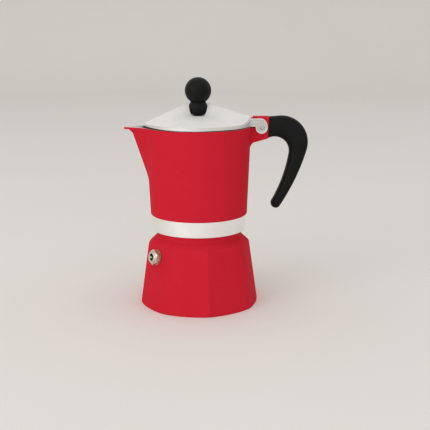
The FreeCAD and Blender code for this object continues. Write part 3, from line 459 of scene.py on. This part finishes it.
# Outer wall of jug and spout: the larger of cone, beak, lip and edge, blended
def jugOutside(height, turns, j, s):
    off = np.degrees(fromSpout(turns))
    radius = jugCone(height, j) + 0 * turns
    beak = wedge(spoutReach(height, s), s["tip"], s["slope"], turns)
    blend = s["blend"] * np.clip((height - s["blendFoot"]) / s["blendRise"], s["leastBlend"], 1)
    radius = np.where((height > s["start"]) & (off < s["limit"]), softMax(radius, beak, blend), radius)
    lip = wedge(lipReach(height, s), s["tip"], s["lipSlope"], turns)
    lipShown = (height > s["lipFoot"]) & (off < s["lipLimit"])
    radius = np.where(lipShown, softMax(radius, lip, s["lipBlend"]), radius)
    edge = wedge(s["edgeReach"], s["tip"], s["edgeSlope"], turns)
    edgeShown = (height > j["height"] - s["edge"]) & (off < s["edgeLimit"])
    return np.where(edgeShown, np.maximum(radius, edge), radius)


# Inner wall: the cavity's cone, the beak set in by one wall, and the lip by its own
def jugInside(height, turns, j, s):
    off = np.degrees(fromSpout(turns))
    radius = jugCone(height, j) - j["wall"] + 0 * turns
    side = math.hypot(1, s["slope"])
    flank = (spoutReach(height, s) - s["tip"]) * s["slope"] / side + s["tip"] - j["wall"]
    reach = (flank - s["innerTip"]) * side / s["slope"] + s["innerTip"]
    beak = wedge(reach, s["innerTip"], s["slope"], turns)
    shown = (height > s["start"]) & (off < s["limit"])
    radius = np.where(shown, softMax(radius, beak, s["innerBlend"]), radius)
    lip = wedge(lipReach(height - s["lipWall"] / 2, s) - s["lipWall"], s["innerTip"], s["lipSlope"], turns)
    lipShown = (height > s["lipFoot"] + s["lipWall"] / 2) & (off < s["lipLimit"])
    return np.where(lipShown, softMax(radius, lip, s["innerLipBlend"]), radius)


# The rows run from the skirt's foot up the outside, over the rim, down the inside to the
# column's hole, and back under the floor through the threaded bore
def makeJug(j, s):
    enamel, turned, cast, bareWithPaintedLight = range(4)
    fans = [np.linspace(-angle, angle, columns) for angle, columns in (s["tipFan"], s["beakFan"])]
    turns = np.concatenate([circle(j["columns"]), np.pi + np.radians(np.concatenate(fans))])
    turns = np.unique(np.round(turns, 5))
    rows, zones = [], []

    def addRows(radius, height, zone):
        rows.append(spin(radius, height, turns))
        zones.append(np.full(len(radius), zone))

    low, _ = profile([
        (j["skirtBore"] + j["skirtEase"], j["skirtFoot"], 0, turned),
        (j["bandFoot"], j["skirtFoot"], j["bandRound"], turned),
        (j["bandTop"], j["foot"], 0, turned)], j["bandStep"])
    addRows(low[:, :1], low[:, 1:], turned)
    under, _ = profile([
        (j["bandTop"] + j["bandGap"], j["foot"], 0, enamel),
        (j["footRadius"], j["foot"], j["footRound"], enamel),
        (j["footRadius"] + j["footLean"], j["foot"] + j["footRise"], 0, enamel)], j["footStep"])
    addRows(under[:, :1], under[:, 1:], enamel)
    edgeFoot = j["height"] - s["edge"]
    rimFoot = j["height"] - j["rimRound"]
    heights = np.concatenate([
        np.arange(j["outerFrom"], s["lipFoot"], j["outerStep"]),
        np.linspace(s["lipFoot"] + s["lipStart"], edgeFoot - s["edgeBelow"], s["lipRows"]),
        np.linspace(edgeFoot + s["edgeAbove"], rimFoot, s["edgeRows"])])[:, None]
    addRows(jugOutside(heights, turns, j, s), heights, enamel)
    swing = np.linspace(0, np.pi / 2, j["rimRows"] + 1)[1:, None]
    outer = jugOutside(np.array([[rimFoot]]), turns, j, s)
    addRows(outer - j["rimRound"] * (1 - np.cos(swing)), rimFoot + j["rimRound"] * np.sin(swing), enamel)
    zones[-1][-1] = bareWithPaintedLight  # the flat top of the rim takes the paler aluminium, and so does the pouring lip inside: painted light, a highlight on the rim's top and light falling into the lip
    inner = jugInside(np.array([[rimFoot]]), turns, j, s)
    swing = swing[::-1]
    addRows(inner + j["rimRound"] * (1 - np.cos(swing)), rimFoot + j["rimRound"] * np.sin(swing), bareWithPaintedLight)
    down = np.concatenate([
        np.linspace(rimFoot, s["lipFoot"] + s["innerLipRise"], s["innerLipRows"]),
        np.arange(j["innerFrom"], j["cavityFoot"], -j["innerStep"])])[:, None]
    addRows(jugInside(down, turns, j, s), down, cast)
    # the upper rows of the lip inside are paler: painted light falling into the lip
    zones[-1][:s["innerLipRows"]] = bareWithPaintedLight
    cavity = jugCone(j["cavityFoot"], j) - j["wall"]
    crown = j["floor"] + j["domeRise"]
    dome = j["seat"] + j["domeRise"]
    inside, _ = profile([
        (cavity, j["cavityFoot"] - j["cavityEase"], 0, cast),
        (cavity - j["cavityEase"], j["floor"], j["floorRound"], cast),
        (j["domeRadius"], j["floor"], j["domeRound"], cast),
        (j["crownRadius"], crown, j["crownRound"], cast), (j["columnHole"], crown, 0, cast),
        (j["columnHole"], dome, 0, cast), (j["crownRadius"], dome, 0, cast),
        (j["domeRadius"], j["seat"], 0, cast), (j["skirtBore"], j["seat"], 0, cast)], j["floorStep"])
    addRows(inside[:, :1], inside[:, 1:], cast)
    boreFoot = j["skirtFoot"] + j["skirtEase"]
    bore = np.arange(j["seat"] - j["cavityEase"], boreFoot, -j["boreStep"])[:, None]
    last = thread["start"] + 360 * thread["turns"] + thread["runOut"]
    groove = threadShare(bore, turns, thread["grooveStart"], last, thread["gap"])
    addRows(j["skirtBore"] + groove * thread["grooveDepth"], bore, cast)
    addRows(np.array([[j["skirtBore"]]]), boreFoot, cast)
    finishesAndPaintedShading = [redEnamel, turnedAluminium, castAluminium, skimmedAluminiumPaintedShading]
    piece, rowOfFace = gridPiece("jugCasting", np.concatenate(rows), wrapRows=True)
    finishMesh(piece, finishesAndPaintedShading, sharp=38, faceMaterial=np.concatenate(zones)[rowOfFace])
    return piece


jugCasting = makeJug(jug, spout)
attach(jugCasting, "collector")
print("jug made")


# A straight run, then arcs that each carry on tangent from the run before
def tangentRun(points, cuts):
    points = np.array(points, float)
    heading = points[1] - points[0]
    heading = heading / np.hypot(*heading)
    runs = [points[0] + (points[1] - points[0]) * np.linspace(0, 1, cuts)[:, None]]
    for start, finish in zip(points[1:-1], points[2:]):
        chord = finish - start
        left = np.array([-heading[1], heading[0]])
        whole = 2 * math.atan2(chord @ left, chord @ heading)
        centre = start + left * (chord @ chord) / (2 * (chord @ left))
        swing = whole * np.linspace(0, 1, cuts)[1:]
        away = start - centre
        runs.append(centre + np.stack([
            away[0] * np.cos(swing) - away[1] * np.sin(swing),
            away[0] * np.sin(swing) + away[1] * np.cos(swing)], -1))
        heading = heading * math.cos(whole) + left * math.sin(whole)
    return np.vstack(runs)


# The same number of points at even steps along a run
def evenly(run, count):
    length = np.concatenate([[0], np.cumsum(np.hypot(*np.diff(run, axis=0).T))])
    at = np.linspace(0, length[-1], count)
    return np.stack([np.interp(at, length, run[:, 0]), np.interp(at, length, run[:, 1])], -1)


# Handle: a rounded-square section carried between the outer and the inner outline,
# closed by a round end
handle = {
    "outer": [(51.34, 138.7), (59.3, 139.28), (79.47, 114.27), (60.04, 72.55)],
    "tip": (53.92, 76.3), "innerBow": (66.29, 111.4), "throat": (58.21, 123.73), "root": (50.7, 122.85),
    "rootMiddle": (51.02, 130.8), "halfWidth": 5.7, "squareness": 3.0, "endPoint": 0.1,
    "cuts": 60, "rows": 110, "endRows": 10, "columns": 56,
}


def makeHandle(h):
    whole = tangentRun(h["outer"] + [h["tip"], h["innerBow"], h["throat"], h["root"]], h["cuts"])
    arc = h["cuts"] - 1
    outerEnd = h["cuts"] + 2 * arc
    outer = evenly(whole[:outerEnd], h["rows"])
    inner = evenly(whole[outerEnd + arc - 1:][::-1], h["rows"])
    centre = (outer + inner) / 2
    across = (outer - inner) / 2
    along = np.stack([-across[-1][1], across[-1][0]])
    along = along / np.hypot(*along) * np.sign(along @ (centre[-1] - centre[-4]))
    swing = np.linspace(0, np.pi / 2, h["endRows"] + 2)[1:-1, None]
    centre = np.vstack([centre, centre[-1] + along * np.sin(swing) * np.hypot(*across[-1])])
    across = np.vstack([across, across[-1] * np.cos(swing)])
    width = np.concatenate([np.ones(h["rows"]), np.cos(swing[:, 0])]) * h["halfWidth"]
    turn = circle(h["columns"])
    power = 2 / h["squareness"]
    thick = np.sign(np.cos(turn)) * np.abs(np.cos(turn)) ** power
    wide = np.sign(np.sin(turn)) * np.abs(np.sin(turn)) ** power
    flat = centre[:, None, :] + across[:, None, :] * thick[None, :, None]
    rows = np.stack([flat[..., 0], width[:, None] * wide[None, :], flat[..., 1]], -1)
    root = h["rootMiddle"]
    tip = centre[-1] + along * np.hypot(*across[-1]) * h["endPoint"]
    piece, _ = gridPiece("hookedGrip", rows, poleStart=(root[0], 0, root[1]), poleEnd=(tip[0], 0, tip[1]))
    finishMesh(piece, [blackPhenolic], sharp=50)
    return piece


hookedGrip = makeHandle(handle)
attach(hookedGrip, "collector")
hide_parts("handle")
print("handle made")


# A flat outline in X and Z given a thickness along Y: the side walls, then both faces
def plate(name, outline, near, far):
    flat = np.array(outline, float)
    count = len(flat)
    points = np.vstack([np.insert(flat, 1, y, axis=1) for y in (near, far)])
    here = np.arange(count)
    ahead = np.roll(here, -1)
    sides = np.stack([here, ahead, ahead + count, here + count], -1)
    corners = np.concatenate([sides.ravel(), here, here[::-1] + count])
    piece = meshPiece(name, points, corners, np.append(np.full(count, 4), [count, count]))
    cleanMesh(piece)
    return piece


# Edges rounded over a width in mm
def soften(piece, width, segments=3):
    bevel = piece.modifiers.new("edges", "BEVEL")
    bevel.width = width * mm
    bevel.segments = segments
    bevel.limit_method = "ANGLE"
    bevel.angle_limit = math.radians(25)


# Hinge lug cast with the jug, and the tongue that the handle slides over. The flare where the
# lug grows out of the wall is given by place and drop below the lug's foot
lug = {
    "halfWidth": 5.7, "inner": 36.9, "shelf": 131.3, "back": 39.9, "end": 51.24, "lean": 0.64,
    "top": 138.65, "foot": 123.05, "edge": 0.45,
    "flare": [(36.9, 6.4), (38.2, 5.4), (38.6, 4.2), (39.7, 3.0)],
    "tongueStart": 50.24, "tongueEnd": 62.5, "tongueFoot": 128.0, "tongueTop": 135.0, "tongueHalf": 3.0,
    "tongueEdge": 0.4,
}
lugPiece = plate("hingeLug", [(place, lug["foot"] - drop) for place, drop in lug["flare"]] + [
    (lug["end"] - lug["lean"], lug["foot"]), (lug["end"], lug["top"]), (lug["back"], lug["top"]),
    (lug["back"], lug["shelf"]), (lug["inner"], lug["shelf"])], -lug["halfWidth"], lug["halfWidth"])
soften(lugPiece, lug["edge"])
finishMesh(lugPiece, [redEnamel], sharp=40)
tonguePiece = plate("handleTongue", [
    (lug["tongueStart"], lug["tongueFoot"]), (lug["tongueEnd"], lug["tongueFoot"]),
    (lug["tongueEnd"], lug["tongueTop"]), (lug["tongueStart"], lug["tongueTop"])],
    -lug["tongueHalf"], lug["tongueHalf"])
soften(tonguePiece, lug["tongueEdge"])
finishMesh(tonguePiece, [castAluminium], sharp=40)
for piece in (lugPiece, tonguePiece):
    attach(piece, "collector")
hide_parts("collector")
print("lug made")

# Lid: straight lines from the waved rim up to a saddle round the knob
lid = {
    "radius": 38.3, "foot": 132.2, "rim": 134.5, "wall": 1.8, "rimWidth": 2.0, "rimRound": 0.3,
    "flange": 0.8, "step": 0.4, "hingeRise": 3.8, "hingeSharp": 12, "hingeLift": 0.27, "liftSharp": 4,
    "nose": 1.4, "noseDrop": 0.55, "noseSharp": 8, "noseLift": 1.2, "noseLiftSharp": 3,
    "saddleRadius": 7.0, "saddle": 139.45, "saddleEdge": 0.2, "saddleRise": 9.35, "saddleSharp": 6,
    "saddleRound": 0.3, "flatRings": [0.8, 3.0, 5.0, 6.6, 7.0], "crestRings": [7.1, 7.35], "slopeFrom": 8.0,
    "hub": 9.0, "hubFoot": 135.95, "hubRings": [9.0, 6.0, 3.0, 0.8],
    "pin": (46.2, 131.3), "notch": 10.25, "notchHalf": 6.0,
    "wallRows": 7, "slopeRows": 40, "roundRows": 6, "sideRows": 4, "underRows": 30, "columns": 288,
}


# How far a turn points at the spout and at the hinge, each from 0 to 1
def toSpoutAndHinge(turns):
    return np.maximum(-np.cos(turns), 0), np.maximum(np.cos(turns), 0)


# Height of the lid: along a radius a straight line from saddle wave to rim wave
def lidHeight(radius, turns, l):
    toSpout, toHinge = toSpoutAndHinge(turns)
    rim = l["rim"] + l["hingeRise"] * toHinge ** l["hingeSharp"] - l["noseDrop"] * toSpout ** l["noseSharp"]
    saddle = l["saddle"] + l["saddleEdge"] + l["saddleRise"] * np.cos(turns) ** l["saddleSharp"]
    share = (radius - l["saddleRadius"]) / (l["radius"] - l["saddleRadius"])
    return saddle + (rim - saddle) * share


# The rows run from the flat under the knob up the saddle's wall, down the slope, over the
# stepped rim and back along the underside to the hub
def makeLid(l):
    turns = circle(l["columns"])
    toSpout, toHinge = toSpoutAndHinge(turns)
    rows = [spin(np.array(l["flatRings"])[:, None], l["saddle"], turns)]
    lift = np.linspace(0, 1, l["wallRows"] + 1)[1:, None]
    crest = lidHeight(l["saddleRadius"], turns, l) - l["saddleRound"]
    wall = l["saddle"] + np.maximum(crest - l["saddle"], 0) * lift
    rows.append(spin(l["saddleRadius"], wall, turns))
    shoulder = l["radius"] - l["flange"]
    out = np.concatenate([l["crestRings"], np.linspace(l["slopeFrom"], shoulder, l["slopeRows"])])[:, None]
    rows.append(spin(out, lidHeight(out, turns, l), turns))
    rimStart = sum(len(run) for run in rows) - 1
    edge = l["rimRound"]
    top = lidHeight(shoulder, turns, l) - l["step"]
    rows.append(spin(shoulder, top[None], turns))
    swing = np.linspace(0, np.pi / 2, l["roundRows"])[:, None]
    rows.append(spin(l["radius"] - edge + edge * np.sin(swing), top - edge * (1 - np.cos(swing)), turns))
    foot = l["foot"] + l["noseLift"] * toSpout ** l["noseLiftSharp"]
    foot = foot + l["hingeLift"] * (1 - (1 - toHinge) ** l["liftSharp"])
    side = np.linspace(1, 0, l["sideRows"] + 1)[1:, None]
    rows.append(spin(l["radius"], foot + (top - edge - foot) * side, turns))
    rimEnd = sum(len(run) for run in rows) - 1
    inner = l["radius"] - l["rimWidth"]
    rows.append(spin(inner, foot[None], turns))
    back = np.linspace(inner, l["hub"], l["underRows"])[:, None]
    rows.append(spin(back, lidHeight(back, turns, l) - l["wall"], turns))
    rows.append(spin(np.array(l["hubRings"])[:, None], l["hubFoot"], turns))
    rows = np.concatenate(rows)
    # The nose: radii grow toward the spout
    far = np.hypot(rows[..., 0], rows[..., 1])
    share = np.clip((far - l["saddleRadius"]) / (l["radius"] - l["saddleRadius"]), 0, 1)
    grow = 1 + l["nose"] * share * toSpout ** l["noseSharp"] / np.maximum(far, 1)
    rows[..., :2] = rows[..., :2] * grow[..., None]
    # The notch: between the ears nothing comes nearer to the pin than the notch's radius
    near = np.abs(rows[..., 1]) < l["notchHalf"]
    drop = np.abs(rows[..., 2] - l["pin"][1])
    limit = l["pin"][0] - np.sqrt(np.maximum(l["notch"] ** 2 - drop ** 2, 0))
    rows[..., 0] = np.where(near & (drop < l["notch"]), np.minimum(rows[..., 0], limit), rows[..., 0])
    piece, rowOfFace = gridPiece(
        "lidShell", rows, poleStart=(0, 0, l["saddle"]), poleEnd=(0, 0, l["hubFoot"]))
    # the rim's faces take the greyer aluminium: painted shade along the rim
    onRim = (rowOfFace >= rimStart) & (rowOfFace < rimEnd)
    finishMesh(piece, [satinAluminium, skimmedAluminiumPaintedShading], sharp=35, faceMaterial=onRim)
    return piece


lidShell = makeLid(lid)
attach(lidShell, "lid")
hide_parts("lid")

# Ear of the lid: an arm that ends in a round boss, its outer face sunk inside a border.
# The rounded corner over the boss is given in shares of the boss's radius
ear = {
    "root": 36.0, "top": 137.8, "inner": 6.0, "outer": 8.6, "boss": 4.4, "bossBack": 0.52,
    "cornerWide": 1.05, "cornerTall": 1.45, "border": 0.9, "slant": 0.2, "sunk": 0.3, "edge": 0.3,
}


def makeEar(name, e, near, far, outer):
    pinX, pinZ = lid["pin"][0] - e["bossBack"], lid["pin"][1]
    wide, tall = e["boss"] * e["cornerWide"], e["boss"] * e["cornerTall"]
    bottom = np.radians(np.linspace(180, 360, 25))
    bend = np.radians(np.linspace(0, 90, 9))
    outline = np.concatenate([
        [(e["root"], lid["foot"]), (pinX - e["boss"], lid["foot"])],
        np.stack([pinX + e["boss"] * np.cos(bottom), pinZ + e["boss"] * np.sin(bottom)], -1),
        np.stack([pinX + e["boss"] - wide * (1 - np.cos(bend)), e["top"] - tall * (1 - np.sin(bend))], -1),
        [(e["root"], e["top"])]])
    piece = plate(name, outline, near, far)
    shell = bmesh.new()
    shell.from_mesh(piece.data)
    face = [f for f in shell.faces if len(f.verts) > 4 and abs(f.verts[0].co.y - outer * mm) < 1e-6]
    bmesh.ops.inset_region(shell, faces=face, thickness=e["border"] * mm, depth=0.0)
    bmesh.ops.inset_region(shell, faces=face, thickness=e["slant"] * mm, depth=-e["sunk"] * mm)
    face[0].material_index = 1
    shell.to_mesh(piece.data)
    shell.free()
    soften(piece, e["edge"], segments=2)
    finishMesh(piece, [skimmedAluminiumPaintedShading, castAluminium], sharp=40)
    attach(piece, "lid")


makeEar("earFront", ear, -ear["outer"], -ear["inner"], -ear["outer"])
makeEar("earBack", ear, ear["inner"], ear["outer"], ear["outer"])
print("lid made")

# Knob: two balls and a waist turned in one, the small ball cut flat at its foot
knob = {
    "foot": 139.5, "smallCentre": 145.65, "smallRadius": 6.73, "waist": 5.35, "waistFoot": 149.4,
    "waistTop": 149.64, "centre": 157.6, "radius": 9.59, "footRing": 1.0, "lastTurn": 88,
    "smallRows": 28, "rows": 44, "columns": 96,
}


def makeKnob(k):
    low = np.linspace(math.asin((k["foot"] - k["smallCentre"]) / k["smallRadius"]),
                      math.asin((k["waistFoot"] - k["smallCentre"]) / k["smallRadius"]), k["smallRows"])
    high = np.linspace(math.asin((k["waistTop"] - k["centre"]) / k["radius"]),
                       math.radians(k["lastTurn"]), k["rows"])
    radius = np.concatenate([
        [k["footRing"]], k["smallRadius"] * np.cos(low), [k["waist"]], k["radius"] * np.cos(high)])
    height = np.concatenate([
        [k["foot"]], k["smallCentre"] + k["smallRadius"] * np.sin(low),
        [(k["waistFoot"] + k["waistTop"]) / 2], k["centre"] + k["radius"] * np.sin(high)])
    rows = spin(radius[:, None], height[:, None], circle(k["columns"]))
    piece, _ = gridPiece("doubleBallKnob", rows, poleStart=(0, 0, k["foot"]),
                         poleEnd=(0, 0, k["centre"] + k["radius"]))
    finishMesh(piece, [blackPhenolic], sharp=50)
    return piece


knobPiece = makeKnob(knob)
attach(knobPiece, "lid")
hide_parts("knob")
print("knob made")

# Valve body: hexagon with turned-off corners, round nose with a deep bore. Places are along
# the valve's axis from the facet; pairs are steps in radius and place
valve = {
    "height": 39.3, "slide": 3.3, "spin": 29.0, "across": 10.3, "hexFoot": 0.85, "hexTop": 4.05,
    "faceShare": 0.96, "cornerSlack": 0.05, "chamfer": 0.75,
    "nose": 4.4, "noseRoot": (0.15, 0.2), "noseRound": (0.5, 0.5), "noseBend": (0.15, 0.2), "end": 5.1,
    "bore": 2.6, "boreEase": (0.25, 0.3), "boreFoot": -3.6, "orifice": 1.3,
    "shank": 3.95, "shankEnd": -4.6, "cuts": 6, "columns": 96,
}


# Points round the valve's axis, carried to the facet: leant with its wall, then swung about
# the facet's own axis
def onValve(along, radius, turns):
    local = np.stack(np.broadcast_arrays(along, radius * np.cos(turns), radius * np.sin(turns)), -1)
    lean = math.atan((boiler["facetFoot"] - boiler["facetTop"]) / boiler["shoulderHeight"])
    out = boiler["facetFoot"] - math.tan(lean) * valve["height"] + boiler["facetBow"]
    tilt = np.array(Matrix.Rotation(-lean, 3, "Y"))
    facing = math.radians(boiler["facetTurn"])
    swing = np.array(Matrix.Rotation(facing + valve["slide"] / out, 3, "Z"))
    back = boiler["facetBow"] * np.array([math.cos(facing), math.sin(facing), 0])
    return (local @ tilt.T + np.array([out, 0, valve["height"]])) @ swing.T - back


def makeValve(v):
    flat = v["across"] / 2
    face = flat * v["faceShare"]
    corner = v["across"] / math.sqrt(3) + v["cornerSlack"]
    rootOut, rootUp = v["noseRoot"]
    roundIn, roundDown = v["noseRound"]
    bendIn, bendDown = v["noseBend"]
    easeOut, easeDown = v["boreEase"]
    # Radius of a circle and place along the axis; the hexagon limits the middle rows
    path = np.array([
        (v["orifice"], v["shankEnd"]), (v["shank"], v["shankEnd"]), (v["shank"], v["hexFoot"]),
        (face, v["hexFoot"]), (corner, v["hexFoot"] + v["chamfer"]), (corner, v["hexTop"] - v["chamfer"]),
        (face, v["hexTop"]), (v["nose"] + rootOut, v["hexTop"]), (v["nose"], v["hexTop"] + rootUp),
        (v["nose"], v["end"] - roundDown), (v["nose"] - bendIn, v["end"] - bendDown),
        (v["nose"] - roundIn, v["end"]), (v["bore"] + easeOut, v["end"]),
        (v["bore"], v["end"] - easeDown), (v["bore"], v["boreFoot"]), (v["orifice"], v["boreFoot"])])
    share = np.linspace(0, 1, v["cuts"] + 1)[1:, None]
    steps = path[:-1, None] + np.diff(path, axis=0)[:, None] * share
    path = np.vstack([path[:1], steps.reshape(-1, 2)])
    turns = circle(v["columns"])
    off = (turns - math.radians(v["spin"])) % math.radians(60) - math.radians(30)
    middle = (path[:, 1:] >= v["hexFoot"]) & (path[:, 1:] <= v["hexTop"])
    radius = np.where(middle, np.minimum(path[:, :1], flat / np.cos(off)), path[:, :1])
    piece, _ = gridPiece("valveHousing", onValve(path[:, 1:], radius, turns), wrapRows=True)
    finishMesh(piece, [washedBrass], sharp=25)
    return piece


valvePiece = makeValve(valve)
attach(valvePiece, "boiler")
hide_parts("valve_body")

# Spring of the valve: a round wire carried along a helix
spring = {
    "foot": -1.85, "top": 2.9, "radius": 1.65, "wire": 0.25, "turns": 6, "travel": 1.2,
    "rows": 240, "columns": 12,
}


def makeSpring(c):
    share = np.linspace(0, 1, c["rows"])[:, None]
    aroundWire = circle(c["columns"])
    radius = c["radius"] + c["wire"] * np.cos(aroundWire)
    along = c["foot"] + (c["top"] - c["foot"]) * share + c["wire"] * np.sin(aroundWire)
    rows = onValve(along, radius, 2 * np.pi * c["turns"] * share)
    piece, _ = gridPiece("valveCoil", rows, poleStart=rows[0].mean(0), poleEnd=rows[-1].mean(0))
    finishMesh(piece, [brightSteel], sharp=50)
    return piece


springPiece = makeSpring(spring)
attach(springPiece, "boiler")
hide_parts("valve_spring")
springEnds = onValve(np.array([spring["foot"] - spring["wire"], spring["top"] + spring["wire"]]), 0, 0)
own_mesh(springPiece)

# Plunger of the valve: a broad head on its seat and a thin pin whose domed end looks out of the nose
plunger = {
    "foot": -3.55, "headTop": -2.15, "head": 2.2, "pin": 0.8, "end": 5.9, "lastTurn": 84,
    "domeRows": 8, "columns": 32,
}


def makePlunger(p):
    bend = np.radians(np.linspace(0, p["lastTurn"], p["domeRows"]))
    radius = np.concatenate([[p["head"], p["head"], p["pin"]], p["pin"] * np.cos(bend)])
    dome = p["end"] - p["pin"] * (1 - np.sin(bend))
    along = np.concatenate([[p["foot"], p["headTop"], p["headTop"]], dome])
    rows = onValve(along[:, None], radius[:, None], circle(p["columns"]))
    ends = onValve(np.array([p["foot"], p["end"]]), 0, 0)
    piece, _ = gridPiece("valvePin", rows, poleStart=ends[0], poleEnd=ends[1])
    finishMesh(piece, [washedBrass], sharp=40)
    return piece


plungerPiece = makePlunger(plunger)
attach(plungerPiece, "plunger")
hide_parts("valve_plunger")
print("valve made")

# Finishes of the pieces that keep their own shape; the valve's cap is coloured nearly black as painted shade
# for the bore
finishesAndPaintedShading = {
    # the valve's cap takes a painted shade, so that the bore looks dark
    "valve_washer": washedBrass, "valve_cap": paintedShadeSteel, "gasket": sealRubber,
    "funnel_cup": sheetAluminium, "funnel_stem": sheetAluminium, "funnel_plate": sheetAluminium,
    "filter_plate": sheetAluminium, "column": castAluminium,
    "handle_screw": brightSteel, "hinge_pin": brightSteel,
    "knob_screw": brightSteel, "knob_washer": brightSteel,
}
for node, material in finishesAndPaintedShading.items():
    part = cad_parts[node]
    part.data.materials.clear()
    part.data.materials.append(material)
print("finishes set")

# Pale floor: matte card that keeps the shadow soft
paleFloor = newMaterial(
    "paleFloor", {"Specular IOR Level": 0.1}, tones=(400, "#EAE7E3", "#EDEAE6"), rough=(50, 0.8, 0.9))

# Sweep: a floor that bends up into a wall, one profile carried straight sideways, in metres
sweep = {"near": -4.0, "bend": 2.2, "radius": 0.5, "top": 0.7, "half": 5.0, "cuts": 24}
swing = np.linspace(0, np.pi / 2, sweep["cuts"])
wallY = sweep["bend"] + sweep["radius"]
sweepY = np.concatenate([[sweep["near"]], sweep["bend"] + sweep["radius"] * np.sin(swing), [wallY]])
sweepZ = np.concatenate([[0], sweep["radius"] * (1 - np.cos(swing)), [sweep["top"]]])
sweepRows = np.stack([np.stack([np.full_like(sweepY, x), sweepY, sweepZ], -1)
                      for x in (-sweep["half"], sweep["half"])], 1)
floor, _ = gridPiece("floor", sweepRows / mm, wrapColumns=False)
floor.data.materials.append(paleFloor)
floor.data.shade_smooth()

# World: one strength lights the pot, another is seen directly, in metal and through glass
world = bpy.data.worlds.new("paleRoom")
scene.world = world
world.use_nodes = True
tree = world.node_tree
tree.nodes.clear()
rays = addNode(tree, "ShaderNodeLightPath")
lit = addNode(tree, "ShaderNodeBackground", inputs={"Color": linearColour("#F8F7F5"), "Strength": 0.72})
seen = addNode(tree, "ShaderNodeBackground", inputs={"Color": linearColour("#F4F1EC"), "Strength": 0.95})
direct = addNode(tree, "ShaderNodeMath", {"operation": "MAXIMUM"}, {
    0: (rays, "Is Camera Ray"), 1: (rays, "Is Glossy Ray")})
shown = addNode(tree, "ShaderNodeMath", {"operation": "MAXIMUM"}, {
    0: (direct, "Value"), 1: (rays, "Is Transmission Ray")})
mix = addNode(tree, "ShaderNodeMixShader", inputs={
    0: (shown, "Value"), 1: (lit, "Background"), 2: (seen, "Background")})
addNode(tree, "ShaderNodeOutputWorld", inputs={"Surface": (mix, "Shader")})


# A square lamp at a spot, turned to an aim, its size in metres and its power in watts
def areaLight(name, spot, aim, size, power):
    lamp = bpy.data.lights.new(name, "AREA")
    lamp.shape = "SQUARE"
    lamp.size = size
    lamp.energy = power
    holder = bpy.data.objects.new(name, lamp)
    holder.location = spot
    holder.visible_camera = False
    holder.rotation_euler = (Vector(aim) - Vector(spot)).to_track_quat("-Z", "Y").to_euler()
    scene.collection.objects.link(holder)


areaLight("frontLight", (0.0, -1.77, 0.42), (0, 0, 0.09), size=1.4, power=3.8)
areaLight("keyLight", (-1.16, -1.16, 0.55), (0, 0, 0.09), size=1.2, power=7.4)
areaLight("topLight", (0.0, -0.2, 1.6), (0, 0, 0.1), size=1.6, power=3.0)

# Camera: its place in metres, its turns in degrees and its lens in mm, solved on the photo
view = {"spot": (0.0, -0.600, 0.19781), "pitch": 12.447, "yaw": 1.142, "roll": -0.200, "lens": 68.862}
pitch, yaw, roll = (math.radians(view[key]) for key in ("pitch", "yaw", "roll"))
forward = Vector((math.sin(yaw) * math.cos(pitch), math.cos(yaw) * math.cos(pitch), -math.sin(pitch)))
right = Vector((math.cos(yaw), -math.sin(yaw), 0))
up = right.cross(forward)
side = math.cos(roll) * right + math.sin(roll) * up
top = -math.sin(roll) * right + math.cos(roll) * up
cameraData = bpy.data.cameras.new("camera")
cameraData.sensor_width = 36
cameraData.lens = view["lens"]
cameraData.clip_start = 0.01
camera = bpy.data.objects.new("camera", cameraData)
camera.matrix_world = Matrix.Translation(view["spot"]) @ Matrix((side, top, -forward)).transposed().to_4x4()
scene.collection.objects.link(camera)
scene.camera = camera
scene.view_settings.view_transform = "Standard"
print("stage set")
